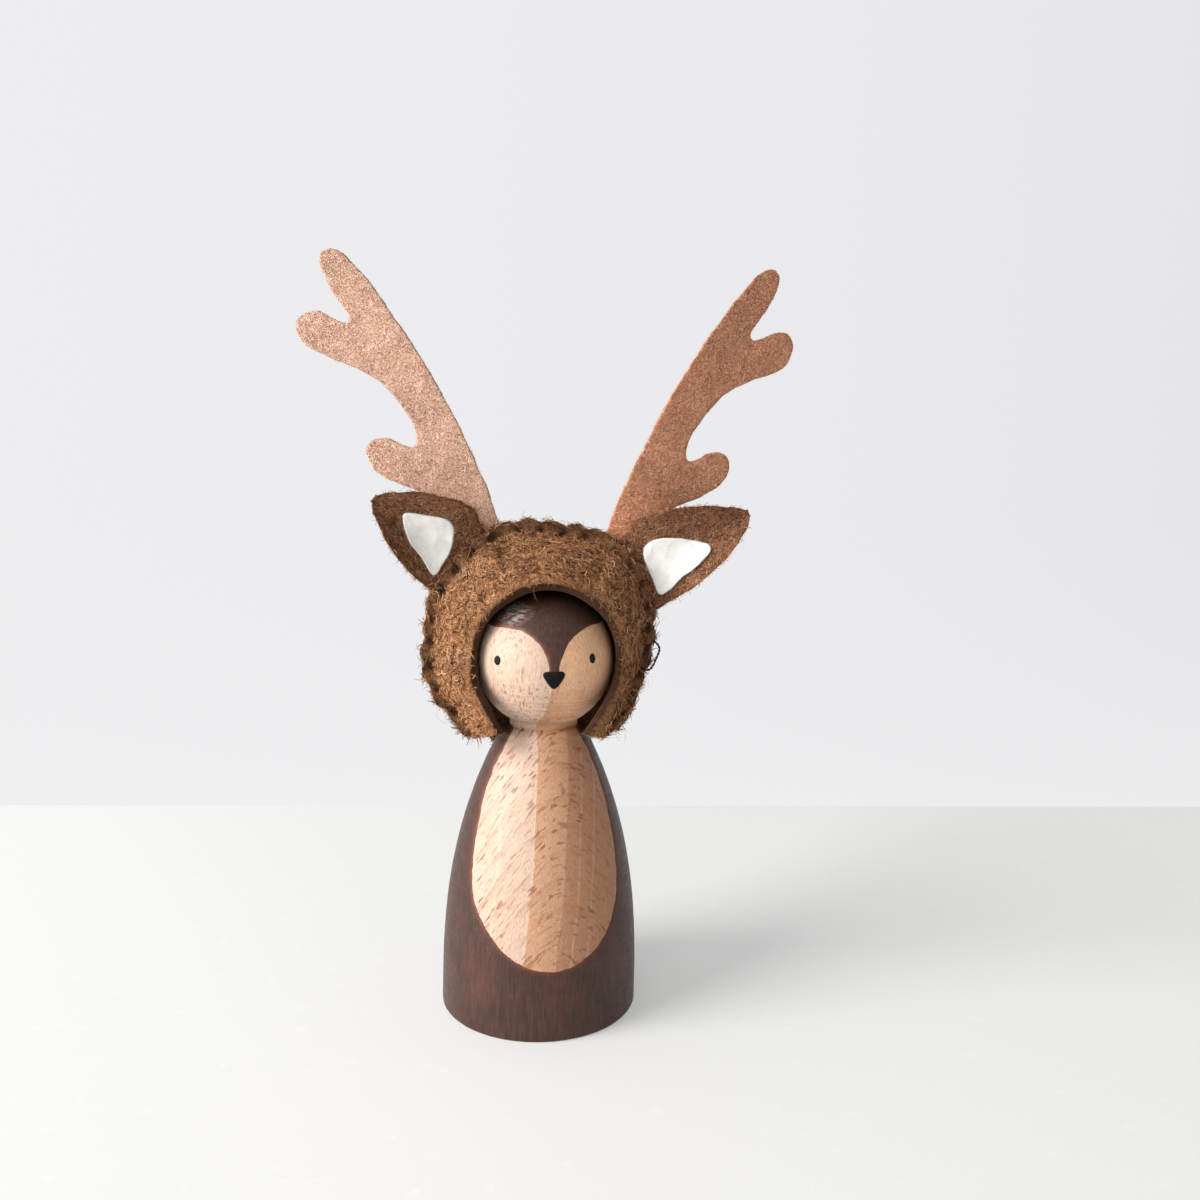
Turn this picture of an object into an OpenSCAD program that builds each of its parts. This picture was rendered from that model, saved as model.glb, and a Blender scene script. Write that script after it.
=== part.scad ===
// Peg doll with a felt deer hood. Millimetres, standing on z = 0, facing -Y.
// Left and right are as seen from the front, so left is -X.

/* [Doll] */
// Diameter of the base
base_d = 37.2; // [34:0.1:42]
// Height of the neck groove
neck_h = 54.1; // [50:0.1:60]
// Diameter of the neck
neck_d = 13; // [11:0.5:15]
// Diameter of the ball head
head_d = 26.2; // [24:0.2:28]
// How far the flank draws in from the base to the shoulder
flank_draw = 10.2; // [8:0.1:11]
// How late the flank curves in
flank_power = 2.5; // [2:0.1:3]

/* [Paint] */
// Thickness of the brown coat
coat_t = 0.15; // [0.1:0.01:0.25]
// Half width of the bare belly
belly_w = 13.3; // [10:0.1:15]
// Height of the widest place of the bare belly
belly_z = 26.9; // [24:0.1:32]
// Lowest point of the bare belly
belly_low = 13; // [8:0.5:18]
// How far the nose and the peak of the cap stand off the middle
peak_x = 0.8; // [-1:0.1:1.5]
// Radius of each bare cheek beside the peak
cheek_r = 7.3; // [6:0.1:8]
// Width of the peak where it meets the nose
peak_w = 1.8; // [1.2:0.1:3]
// Turn of the left eye from the front
left_eye_turn = 45; // [38:0.5:50]
// Turn of the right eye from the front
right_eye_turn = 38; // [32:0.5:46]
// Height of an eye
eye_h = 1.7; // [1.2:0.1:2.2]
// Width of an eye
eye_w = 1.3; // [1:0.1:1.8]
// Width of the nose
nose_w = 3.9; // [3:0.1:5]
// Height of the nose
nose_h = 3; // [2.4:0.1:3.8]

/* [Hood] */
// Radius of the sewn outline
hood_r = 22; // [21:0.1:23.5]
// Height of the middle of the hood over the middle of the head
hood_up = 5; // [4:0.1:6]
// Where the seam lies behind the middle
seam_y = 2; // [1:0.1:3]
// Thickness of the hood felt
felt_t = 1.8; // [1.4:0.1:2.2]
// Thickness of the felt where it is pressed in the seam
felt_edge = 1.1; // [0.8:0.1:1.3]
// Room between head and hood
hood_clear = 0.3; // [0.25:0.05:0.5]
// Radius of the face opening
open_r = 12.1; // [11.5:0.1:12.6]
// How far the sides of the face opening stand in front of the middle
open_front = 7.5; // [6.6:0.1:9]
// Width of the flat margin along the seam
margin_w = 2.1; // [1.8:0.1:2.6]
// How far the back panel hangs down behind the neck
nape_drop = 6; // [0:0.5:7]

/* [Ears] */
// Thickness of the ear felt
ear_t = 1.1; // [0.9:0.1:1.4]
// Length of the left ear
left_ear_len = 19.3; // [17:0.1:24]
// Length of the right ear
right_ear_len = 24.3; // [20:0.5:26]
// Width of an ear above its middle line
ear_up = 9.9; // [8:0.1:11]
// Width of an ear below its middle line
ear_down = 7; // [6:0.1:8]
// How deep an ear is hollowed
ear_cup = 3.2; // [2:0.1:4]
// Width of the white lining of an ear
lining_w = 9.8; // [8:0.1:10.5]
// Thickness of the white lining
lining_t = 0.8; // [0.6:0.1:1]
// Place of the left ear on the seam, from the top
left_ear_seat = 52; // [48:1:56]
// Place of the right ear on the seam, from the top
right_ear_seat = 59; // [54:1:62]

/* [Antlers] */
// Thickness of the antler felt
antler_t = 1.1; // [0.9:0.1:1.4]
// Length of the left antler from the seam to its top
left_antler_len = 58.6; // [52:0.1:64]
// Length of the right antler from the seam to its top
right_antler_len = 60.5; // [52:0.1:64]
// Spread of an antler from its inner edge to its outer tines
antler_w = 18.1; // [16:0.1:20]
// Width of an antler's root in the seam
antler_root = 7.2; // [6:0.1:8]
// Place of the left antler on the seam, from the top
left_antler_seat = 32; // [29:1:35]
// Place of the right antler on the seam, from the top
right_antler_seat = 41; // [38:1:44]
// Lean of the left antler from upright
left_antler_lean = 30; // [26:1:34]
// Lean of the right antler from upright
right_antler_lean = 28.5; // [26:0.5:34]
// How far the left antler turns its outer edge to the back
left_antler_turn = 6; // [0:1:25]
// How far the right antler turns its outer edge to the back
right_antler_turn = 20; // [0:1:25]

/* [Thread] */
// Thickness of the sewing thread
thread_d = 0.45; // [0.35:0.05:0.6]
// Distance between stitches, as an angle of the outline
stitch_step = 12; // [10:1:14]

/* [Hidden] */
$fn = 64;
base_r = base_d / 2;
neck_r = neck_d / 2;
head_r = head_d / 2;
head_z = neck_h + 1.3 + sqrt(head_r * head_r - neck_r * neck_r);
flank_low = 3;
flank_top = neck_h - 1.6;
base_round = 0.6;
hood_z = head_z + hood_up;
hood_end = 143;
lobe_y = -9;
arc_r = head_r + hood_clear;
open_z = head_z + 1;
lobe_z = hood_z + hood_r * cos(hood_end) + 0.8;
rest_gap = 0.1;
// the hinge line of an ear or antler lies this far inside the outline
root_in = 1;
ear_gap = rest_gap + ear_t + 0.6;
antler_gap = rest_gap + antler_t + 0.7;
antler_wk = antler_w / 18.1;
left_ear_sweep = 5;
right_ear_sweep = 2.5;
stitch_r = felt_edge + rest_gap + thread_d / 2 + 0.15;
step_row = 6;

brown = [0.20, 0.10, 0.06];
felt_brown = [0.36, 0.22, 0.13];
tan_felt = [0.72, 0.56, 0.40];

function lerp(a, b, t) = a + (b - a) * t;
function soft(x) = let (c = min(1, max(0, x))) c * c * (3 - 2 * c);

// a closed smooth curve through the given points
function curve(p, n) = [for (i = [0 : len(p) - 1]) for (j = [0 : n - 1])
    let (m = len(p), t = j / n, a = p[(i + m - 1) % m], b = p[i], c = p[(i + 1) % m], d = p[(i + 2) % m])
    0.5 * (2 * b + (c - a) * t + (2 * a - 5 * b + 4 * c - d) * t * t + (3 * b - a - 3 * c + d) * t * t * t)];

// wood

function flank_r(z) = base_r - flank_draw * pow(max(0, z - flank_low) / (flank_top - flank_low), flank_power);

// the turned outline from the base edge up to the neck, grown by g
function turned(g) = concat(
    [for (a = [0 : 15 : 90])
        [base_r - base_round + (base_round + g) * sin(a), base_round - (base_round + g) * cos(a)]],
    [for (z = [flank_low : 2.5 : flank_top - 1]) [flank_r(z) + g, z]],
    [[flank_r(flank_top) + g, flank_top]],
    [for (a = [30 : 30 : 90]) let (w = flank_r(flank_top) - neck_r)
        [neck_r + w * cos(a) + g, flank_top + (neck_h - flank_top) * sin(a)]]);

module wooden_doll() {
    color([0.84, 0.67, 0.48]) union() {
        rotate_extrude() polygon(concat([[0, 0]], turned(0),
            [[neck_r, neck_h + 1.6], [neck_r - 1, neck_h + 2.2], [0, neck_h + 2.2]]));
        translate([0, 0, head_z]) sphere(head_r);
    }
}

// paint

// the bare belly seen from the front
function belly() = let (arc = 54, top = neck_h + 1)
    concat(
        [for (a = [-180 : 7.5 : 0]) [belly_w * cos(a), belly_z + (belly_z - belly_low) * sin(a)]],
        [for (z = [belly_z + 3 : 3 : top]) [belly_w - arc + sqrt(arc * arc - pow(z - belly_z, 2)), z]],
        [[neck_r, top], [-neck_r, top]],
        [for (z = [top - 1 : -3 : belly_z + 2])
            [-(belly_w - arc + sqrt(arc * arc - pow(z - belly_z, 2))), z]]);

module body_paint() {
    color(brown) difference() {
        rotate_extrude() polygon(let (t = turned(0), c = turned(coat_t), n = len(t)) concat(
            [for (i = [3 : n - 1]) c[i]], [for (i = [n - 1 : -1 : 3]) t[i]]));
        rotate([90, 0, 0]) linear_extrude(base_r + 5) polygon(belly());
    }
}

// the bare face seen from the front, beside and below the peak of the cap
module face_shape() {
    cheek_x = cheek_r + peak_w / 2;
    cheek_z = head_z - 0.5;
    top = cheek_z + cheek_r;
    for (m = [-1, 1]) translate([peak_x, 0]) {
        translate([m * cheek_x, cheek_z]) circle(cheek_r);
        translate([m > 0 ? cheek_x : -cheek_x - head_r, cheek_z]) square([head_r, cheek_r]);
    }
    translate([-head_r - 2, neck_h]) square([2 * head_r + 4, cheek_z - neck_h]);
}

module head_paint() {
    color(brown) difference() {
        translate([0, 0, head_z]) sphere(head_r + coat_t);
        translate([0, 0, head_z]) sphere(head_r);
        translate([0, -1, 0]) rotate([90, 0, 0]) linear_extrude(head_r + 5) face_shape();
        translate([0, 0, neck_h - 3]) cylinder(h = 4.8, r = head_r);
    }
}

// a dab of paint of the given outline, at a turn from the front and a height over the head's middle
module dab(turn, up, thick) {
    intersection() {
        translate([0, 0, head_z]) difference() {
            sphere(head_r + thick);
            sphere(head_r);
        }
        translate([0, 0, head_z + up]) rotate([0, 0, turn]) rotate([90, 0, 0])
            linear_extrude(head_r + 3) children();
    }
}

module eye_shape() {
    polygon([for (a = [0 : 18 : 342]) [eye_w / 2 * cos(a), eye_h / 2 * sin(a)]]);
}

module left_eye() {
    color([0.04, 0.035, 0.03]) dab(-left_eye_turn, 1, 0.2) eye_shape();
}

module right_eye() {
    color([0.04, 0.035, 0.03]) dab(right_eye_turn, 1.6, 0.2) eye_shape();
}

module nose() {
    w = nose_w / 2;
    h = nose_h;
    line = [[-w + 0.2, 0.15], [0, 0.2], [w - 0.2, 0.15], [w, -0.4],
        [0.5, -h + 0.4], [0, -h], [-0.5, -h + 0.4], [-w, -0.4]];
    color([0.04, 0.035, 0.03]) dab(0, -0.76, 0.3) translate([peak_x, 0]) polygon(curve(line, 4));
}

// hood

function sweep_k(a) = a <= 90 ? 0 : (1 - sin(a)) / (1 - sin(hood_end));

// where a lobe ends beside the middle; the right one is drawn in further
function lobe_x(s) = hood_r * (s < 0 ? 0.66 : 0.505);
function open_end_x(s) = s < 0 ? 8 : 6.2;
function open_end_y(s) = -sqrt(pow(arc_r + 0.3, 2) - pow(open_end_x(s), 2));
// the left side stands out a little over its lobe
function bulge(a, s) = s > 0 || a <= 90 ? 0 : 1.2 * sin(180 * (a - 90) / (hood_end - 90));

// the sewn outline at an angle from the top, negative to the left
function seam(phi) = let (a = abs(phi), s = phi < 0 ? -1 : 1, k = sweep_k(a))
    [s * (a <= 90 ? hood_r * sin(a) : lerp(hood_r, lobe_x(s), k) + bulge(a, s)),
     lerp(seam_y, lobe_y, k), hood_z + hood_r * cos(a)];

// 1 along the root at a seat and 0 away from it
function root_room(phi, seat, half) = 1 - soft((abs(phi - seat) - half) / 5);
function front_gap(phi) = rest_gap + (ear_gap - rest_gap)
    * max(root_room(phi, -left_ear_seat, 20), root_room(phi, right_ear_seat, 20));
function back_gap(phi) = rest_gap + (antler_gap - rest_gap)
    * max(root_room(phi, -left_antler_seat, 11), root_room(phi, right_antler_seat, 12));

// the edge of the face opening; o is 0 inside and 1 outside
function mouth(phi, o) = let (a = abs(phi), s = phi < 0 ? -1 : 1, q = max(0, (a - 90) / (hood_end - 90)),
        grow = o * felt_t * 0.7)
    [s * (a <= 90 ? (open_r + grow) * sin(a) : lerp(open_r, open_end_x(s), q * q) + grow),
     (a <= 90 ? lerp(-open_front - 1, -open_front, sin(a) * sin(a))
        : lerp(-open_front, open_end_y(s), pow(q, 1.4))) - o * felt_t * 0.7,
     a <= 90 ? open_z + (open_r + grow) * cos(a) : lerp(open_z, lobe_z, q)];

// a point of the front panel: s runs from the seam to the opening
function front_pt(phi, s, o) = let (e = seam(phi), m = mouth(phi, o),
        y0 = e[1] - front_gap(phi) - o * felt_edge,
        band = norm([m[0] - e[0], m[2] - e[2]]), most = lerp(0.6, 0.2, soft((abs(phi) - 110) / 30)),
        f = min(most, (margin_w + (1 - o) * 1.1) / band),
        q = max(0, (s - f) / (1 - f)))
    [lerp(e[0], m[0], s), lerp(y0, m[1], pow(q, 0.9)) - 0.7 * sin(180 * q),
     lerp(e[2], m[2], s) - 0.3 * sin(180 * s) * soft((abs(phi) - hood_end + 15) / 15)];

// a point of the back panel: a is the row, from the lobes up to the top, and t runs from left to right
function dome(x, o, room) = seam_y + room + o * felt_edge
    + (arc_r - seam_y - rest_gap + o * (felt_t - felt_edge))
    * max(0, 1 - pow(x / (hood_r - margin_w - (1 - o) * 1.1), 3));
function back_pt(a, t, o) = let (c = 1 - abs(t), s = t < 0 ? -1 : 1, k = sweep_k(a),
        hang = nape_drop * soft((c - 0.45) / 0.25) * soft((a - 115) / 28),
        z = hood_z + hood_r * cos(a) - hang,
        w = hood_r * (a <= 90 ? sin(a) : 1), x = w * cos(90 * c), reach = a <= 90 ? norm([x, z - hood_z]) : x,
        phi = a > 90 ? s * 90 : s * atan2(x, z - hood_z),
        room = lerp(rest_gap, a > 90 ? rest_gap : back_gap(phi), soft((reach / hood_r - 0.6) / 0.3)),
        y = dome(reach, o, room),
        turn = lerp(o > 0 ? -27 : -39, 90, c), r = arc_r + o * felt_t,
        foot = soft(c / 0.2),
        bx = lerp(lobe_x(s), r * cos(turn), foot),
        by = lerp(lobe_y + rest_gap + o * felt_edge, r * sin(turn), foot))
    [s * (lerp(x, bx, k) + bulge(a, s) * (1 - foot)), lerp(y, by, k), z];

// a solid between two grids of points of the same size
module between(p, q) {
    n = len(p);
    m = len(p[0]);
    all = concat([for (r = p) for (v = r) v], [for (r = q) for (v = r) v]);
    h = n * m;
    edge = concat([for (j = [0 : m - 1]) j], [for (i = [1 : n - 1]) i * m + m - 1],
        [for (j = [m - 2 : -1 : 0]) (n - 1) * m + j], [for (i = [n - 2 : -1 : 1]) i * m]);
    l = len(edge);
    polyhedron(all, concat(
        [for (i = [0 : n - 2]) for (j = [0 : m - 2]) [i * m + j, i * m + j + 1, (i + 1) * m + j]],
        [for (i = [0 : n - 2]) for (j = [0 : m - 2]) [i * m + j + 1, (i + 1) * m + j + 1, (i + 1) * m + j]],
        [for (i = [0 : n - 2]) for (j = [0 : m - 2]) [h + i * m + j, h + (i + 1) * m + j, h + i * m + j + 1]],
        [for (i = [0 : n - 2]) for (j = [0 : m - 2])
            [h + i * m + j + 1, h + (i + 1) * m + j, h + (i + 1) * m + j + 1]],
        [for (i = [0 : l - 1]) [edge[i], h + edge[i], edge[(i + 1) % l]]],
        [for (i = [0 : l - 1]) [edge[(i + 1) % l], h + edge[i], h + edge[(i + 1) % l]]]));
}

module hood_front() {
    rows = [0, 0.1, 0.2, 0.32, 0.46, 0.62, 0.8, 1];
    turns = [for (i = [-29 : 29]) hood_end * i / 29];
    color(felt_brown) between(
        [for (phi = turns) [for (s = rows) front_pt(phi, s, 1)]],
        [for (phi = turns) [for (s = rows) front_pt(phi, s, 0)]]);
}

module hood_back() {
    rows = concat([hood_end : -7.5 : 97.5], [90 : -step_row : step_row]);
    steps = [for (i = [-14 : 14]) i / 14];
    color(felt_brown) between(
        [for (r = rows) for (a = r) [for (t = steps) back_pt(a, t, 1)]],
        [for (r = rows) for (a = r) [for (t = steps) back_pt(a, t, 0)]]);
}

// ears

// sets what it is given on the seam: x outward, y to the back, z along the seam towards the top
module on_seam(seat, side, y) {
    translate([side * (hood_r - root_in) * sin(seat), y, hood_z + (hood_r - root_in) * cos(seat)])
        mirror([side < 0 ? 1 : 0, 0, 0]) rotate([0, seat - 90, 0]) children();
}

function ear_top(u) = ear_up * pow(1 - pow(u, 2.2), 0.9) * (0.76 + 0.24 * soft(u / 0.25));
function ear_low(u) = ear_down * pow(1 - u * u, 0.85);
// how far the ear stands to the front at a share u of its length and v of its half width
function ear_y(u, v, sweep) = -sweep * pow(u, 1.5) - ear_cup * v * v * soft((u - 0.06) / 0.4);

module ear(long, sweep) {
    us = [for (i = [0 : 12]) 0.985 * i / 12];
    vs = [for (j = [-5 : 5]) j / 5];
    function at(u, v, d) = [long * u, ear_y(u, v, sweep) + d, v * (v > 0 ? ear_top(u) : ear_low(u))];
    between(
        [for (u = us) [for (v = vs) at(u, v, -ear_t / 2)]],
        [for (u = us) [for (v = vs) at(u, v, ear_t / 2)]]);
    translate([0, 0, -5.8]) cylinder(h = 11.8, d = ear_t);
}

// the outline of each lining in its ear's frame: first outward from the seam, second along it towards the top
left_lining_line = [[13.4, 0.9], [10.2, 3.3], [7, 5.1], [4.7, 4.5], [2.8, 1.6], [2.1, -2], [2.2, -4.5],
    [5.5, -3.6], [10, -2.1]];
right_lining_line = [[14.7, -1.7], [13.6, 0.1], [10.8, 2.4], [7.5, 4.3], [4.2, 4.8], [2.5, 2.3], [2, -1.5],
    [2.1, -5.1], [7, -4.2], [12.8, -3]];

// lies on the hollow of the ear; the outline is drawn for an ear of the given length
module lining(long, sweep, line, drawn) {
    us = [for (i = [0 : 12]) 0.985 * i / 12];
    vs = [for (j = [-5 : 5]) j / 5];
    function at(u, v, d) = [long * u, ear_y(u, v, sweep) - ear_t / 2 - d,
        v * (v > 0 ? ear_top(u) : ear_low(u))];
    cut = [for (p = line) [p[0] * long / drawn, p[1] * lining_w / 9.8]];
    intersection() {
        between(
            [for (u = us) [for (v = vs) at(u, v, 0.05 + lining_t)]],
            [for (u = us) [for (v = vs) at(u, v, 0.05)]]);
        translate([0, 20, 0]) rotate([90, 0, 0]) linear_extrude(40) polygon(curve(cut, 4));
    }
}

module left_ear() {
    color(felt_brown) on_seam(left_ear_seat, -1, seam_y - rest_gap - ear_t / 2)
        ear(left_ear_len, left_ear_sweep);
}

module right_ear() {
    color(felt_brown) on_seam(right_ear_seat, 1, seam_y - rest_gap - ear_t / 2)
        ear(right_ear_len, right_ear_sweep);
}

module left_ear_lining() {
    color([0.93, 0.92, 0.90]) on_seam(left_ear_seat, -1, seam_y - rest_gap - ear_t / 2)
        lining(left_ear_len, left_ear_sweep, left_lining_line, 19.3);
}

module right_ear_lining() {
    color([0.93, 0.92, 0.90]) on_seam(right_ear_seat, 1, seam_y - rest_gap - ear_t / 2)
        lining(right_ear_len, right_ear_sweep, right_lining_line, 24.3);
}

// antlers

// the outline of an antler: first along it from the seam, second across it towards the outside
antler_line = [[0.5, -3.4], [8, -4.6], [16, -5.4], [24, -5.7], [33, -5.7], [43, -5], [51, -4], [56.8, -2.7],
    [59.6, -0.8], [59.5, 1.4], [57, 2.4], [53.5, 2.6], [50, 2.2], [47.4, 2.2], [46.8, 3.4], [48.2, 4.8],
    [51, 6.9], [52, 9.4], [50.7, 11.6], [48, 12.2], [45.2, 11.2], [41.4, 8], [37.6, 5], [33.5, 3], [29, 2],
    [25, 1.8], [22.2, 2.3], [20.8, 3.6], [22.1, 5.3], [24.5, 7.2], [25.6, 9.2], [25, 11.3], [22.6, 12.4],
    [19.6, 11.9], [16.2, 9.8], [13, 7], [9.5, 5], [5, 4.1], [0.5, 3.8]];

// a blade of felt that is flat in the seam and turns as it rises
module antler(tilt, long, turn) {
    xs = [for (i = [0 : 14]) -2 + (long + 4) * i / 14];
    zs = [for (j = [0 : 4]) -15 + 23 * j / 4];
    function at(x, z, d) = [x, d - z * tan(turn) * soft((x - 2) / 14), z];
    rotate([0, -tilt, 0]) translate([root_in, 0, 0]) intersection() {
        between(
            [for (x = xs) [for (z = zs) at(x, z, -antler_t / 2)]],
            [for (x = xs) [for (z = zs) at(x, z, antler_t / 2)]]);
        translate([0, 20, 0]) rotate([90, 0, 0]) linear_extrude(40)
            polygon(curve([for (p = antler_line) [p[0] * long / 59.5, -p[1] * antler_wk]], 3));
    }
    translate([0, antler_t / 2, -antler_root / 2]) rotate([90, 0, 0]) cube([3, antler_root, antler_t]);
    translate([0, 0, -antler_root / 2]) cylinder(h = antler_root, d = antler_t);
}

module left_antler() {
    color(tan_felt) on_seam(left_antler_seat, -1, seam_y + rest_gap + antler_t / 2)
        antler(left_antler_seat - left_antler_lean, left_antler_len, left_antler_turn);
}

module right_antler() {
    color(tan_felt) on_seam(right_antler_seat, 1, seam_y + rest_gap + antler_t / 2)
        antler(right_antler_seat - right_antler_lean, right_antler_len, right_antler_turn);
}

// thread

// one whip stitch round the edge of the seam
module stitch(phi) {
    a = abs(phi);
    p = seam(phi);
    translate(p) mirror([phi < 0 ? 1 : 0, 0, 0]) rotate([0, a - 90, 0]) translate([-1.1, 0, 0]) {
        rotate([0, 0, -90]) rotate_extrude(angle = 180) translate([stitch_r, 0])
            circle(d = thread_d, $fn = 16);
        for (m = [-1, 1]) translate([0, m * stitch_r, 0]) rotate([0, -90, 0])
            cylinder(h = 1.2, d = thread_d, $fn = 16);
    }
}

// one short stitch on the front of the margin, under an ear
module tack(phi) {
    a = abs(phi);
    p = seam(phi);
    translate([p[0], p[1] - front_gap(phi) - felt_edge - thread_d / 2 + 0.05, p[2]])
        mirror([phi < 0 ? 1 : 0, 0, 0])
        rotate([0, a - 90, 0]) translate([-0.2, 0, 0]) rotate([0, -90, 0]) {
            cylinder(h = 1.9, d = thread_d, $fn = 16);
            sphere(d = thread_d, $fn = 16);
        }
}

module top_stitches() {
    color(brown) for (phi = [-15 : stitch_step : 24]) stitch(phi);
}

module left_stitches() {
    color(brown) for (phi = [-82 : -stitch_step : -138]) stitch(phi);
}

module right_stitches() {
    color(brown) for (phi = [86 : stitch_step : 138]) stitch(phi);
}

module left_ear_tacks() {
    color(brown) for (phi = [-30 : -stitch_step : -72]) tack(phi);
}

module right_ear_tacks() {
    color(brown) for (phi = [38 : stitch_step : 80]) tack(phi);
}

// a slack bight of thread that stands off the right side
module slack_loop() {
    a = seam(94);
    b = seam(108);
    mid = (a + b) / 2;
    color(brown) translate([mid[0] - 0.9, mid[1] - 0.4, mid[2]]) rotate([90, 0, 0]) rotate([0, 0, -100])
        rotate_extrude(angle = 160) translate([norm(b - a) / 2, 0]) circle(d = thread_d, $fn = 16);
}

wooden_doll();
body_paint();
head_paint();
left_eye();
right_eye();
nose();
hood_front();
hood_back();
left_ear();
left_ear_lining();
right_ear();
right_ear_lining();
left_antler();
right_antler();
top_stitches();
left_stitches();
right_stitches();
left_ear_tacks();
right_ear_tacks();
slack_loop();
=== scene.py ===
import math

import bmesh
import bpy
import numpy as np
from mathutils import Matrix, Vector
from mathutils.kdtree import KDTree


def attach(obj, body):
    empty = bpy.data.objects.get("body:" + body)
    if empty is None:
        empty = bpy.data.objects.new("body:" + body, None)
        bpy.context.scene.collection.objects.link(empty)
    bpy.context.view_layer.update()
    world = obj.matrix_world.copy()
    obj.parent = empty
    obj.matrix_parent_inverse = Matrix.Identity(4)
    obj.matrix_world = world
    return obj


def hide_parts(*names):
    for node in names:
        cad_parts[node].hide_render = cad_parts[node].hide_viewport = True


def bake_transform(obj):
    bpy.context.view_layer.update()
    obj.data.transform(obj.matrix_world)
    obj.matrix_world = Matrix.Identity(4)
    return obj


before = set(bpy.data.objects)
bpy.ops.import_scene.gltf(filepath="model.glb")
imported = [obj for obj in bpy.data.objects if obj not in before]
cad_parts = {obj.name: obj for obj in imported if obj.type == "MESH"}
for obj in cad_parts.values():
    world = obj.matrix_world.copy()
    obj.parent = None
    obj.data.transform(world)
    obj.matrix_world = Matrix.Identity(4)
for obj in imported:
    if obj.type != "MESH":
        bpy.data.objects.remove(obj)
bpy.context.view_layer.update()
MM = 0.001
scene = bpy.context.scene
SIDE = {-1: "left", 1: "right"}

# Sizes in millimetres and angles in degrees, the same as in the part's source.
BASE_R, BASE_ROUND = 18.6, 0.6
NECK_H, NECK_R, NECK_GROOVE, HEAD_R = 54.1, 6.5, 1.3, 13.1
FLANK_LOW, FLANK_TOP, FLANK_DRAW, FLANK_POWER = 3.0, NECK_H - 1.6, 10.2, 2.5
HEAD_Z = NECK_H + NECK_GROOVE + math.sqrt(HEAD_R**2 - NECK_R**2)
BELLY_W, BELLY_Z, BELLY_LOW, BELLY_ARC = 13.3, 26.9, 13.0, 54.0
PEAK_X, PEAK_W, CHEEK_R, CHEEK_Z = 0.8, 1.8, 7.3, HEAD_Z - 0.5
NOSE_W, NOSE_H = 3.9, 3.0
HOOD_R, HOOD_Z, HOOD_END, SEAM_Y = 22.0, HEAD_Z + 5, 143.0, 2.0
FELT_T, FELT_EDGE, HEAD_GAP, REST_GAP = 1.8, 1.1, 0.3, 0.1
ARC_R = HEAD_R + HEAD_GAP
OPEN_R, OPEN_Z, OPEN_FRONT = 12.1, HEAD_Z + 1, 7.5
MARGIN_W, INSIDE_MARGIN = 2.1, 1.1
LOBE_Y, LOBE_Z = -9.0, HOOD_Z + HOOD_R * math.cos(math.radians(HOOD_END)) + 0.8
LOBE_BULGE, NAPE_DROP, ROOT_IN = 1.2, 6.0, 1.0
EAR_T, LINING_T, ANTLER_T = 1.1, 0.8, 1.1
EAR_SEAT, ANTLER_SEAT = {-1: 52, 1: 59}, {-1: 32, 1: 41}
EAR_GAP, ANTLER_GAP = REST_GAP + EAR_T + 0.6, REST_GAP + ANTLER_T + 0.7
EAR_Y, ANTLER_Y = SEAM_Y - REST_GAP - EAR_T / 2, SEAM_Y + REST_GAP + ANTLER_T / 2
EAR_LONG, EAR_SWEEP = {-1: 19.3, 1: 24.3}, {-1: 5, 1: 2.5}
EAR_UP, EAR_DOWN, EAR_CUP = 9.9, 7.0, 3.2
ANTLER_LEAN, ANTLER_LONG, ANTLER_TURN = {-1: 30, 1: 28.5}, {-1: 58.6, 1: 60.5}, {-1: 6, 1: 20}
THREAD_R = 0.22
WHIPS = {"top": [-15, -3, 9, 21], "left": [-82, -94, -106, -118, -130], "right": [86, 98, 110, 122, 134]}
TACKS = {-1: [-30, -42, -54, -66], 1: [38, 50, 62, 74]}

# Sizes of the looks alone, in millimetres.
COAT_T, RIGHT_CHEEK_MORE, BELLY_SHIFT, BELLY_SHIFT_H = 0.13, 0.7, 0.9, 13
# Shares of an ear's length: where its tip starts to round, and where the cut ends.
EAR_ROUND, EAR_END = 0.86, 0.985
# Rows of points round a cut edge of felt.
EDGE_STEPS = 5


# Numbers.
def sind(a):
    return np.sin(np.radians(a))


def cosd(a):
    return np.cos(np.radians(a))


def soft(x):
    c = np.clip(x, 0, 1)
    return c * c * (3 - 2 * c)


def bell(x, reach):
    return np.exp(-((x / reach) ** 2))


def lerp(a, b, t):
    return a + (b - a) * t


def coords(*parts):
    return np.stack(np.broadcast_arrays(*parts), -1)


def apart(p):
    return np.moveaxis(p, -1, 0)


def length(v):
    return np.linalg.norm(v, axis=-1)


def unit(v):
    return v / np.maximum(length(v), 1e-9)[..., None]


# Smooth lumps from -1 to 1.
def corner(c, seed):
    h = (c @ (374761393, 668265263, 1442695041) + seed * 974634551) & 0xFFFFFFFF
    h = ((h ^ (h >> 13)) * 1274126177) & 0xFFFFFFFF
    return ((h ^ (h >> 16)) & 0xFFFF) / 32767.5 - 1


def lumps(p, size, seed):
    q = np.asarray(p) / size + 100.0
    c = np.floor(q).astype(np.int64)
    f = soft(q - c)
    total = 0
    for step in np.ndindex(2, 2, 2):
        total = total + np.abs(1 - np.array(step) - f).prod(-1) * corner(c + step, seed)
    return total


# A smooth curve from b to c, with a before it and d after it.
def between(a, b, c, d, t):
    return 0.5 * (2 * b + (c - a) * t + (2 * a - 5 * b + 4 * c - d) * t**2 + (3 * b - a - 3 * c + d) * t**3)


def closed_curve(points, count):
    p = np.asarray(points, float)
    t = np.arange(count)[:, None] / count
    fours = zip(np.roll(p, 1, 0), p, np.roll(p, -1, 0), np.roll(p, -2, 0))
    return np.concatenate([between(*four, t) for four in fours])


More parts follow.
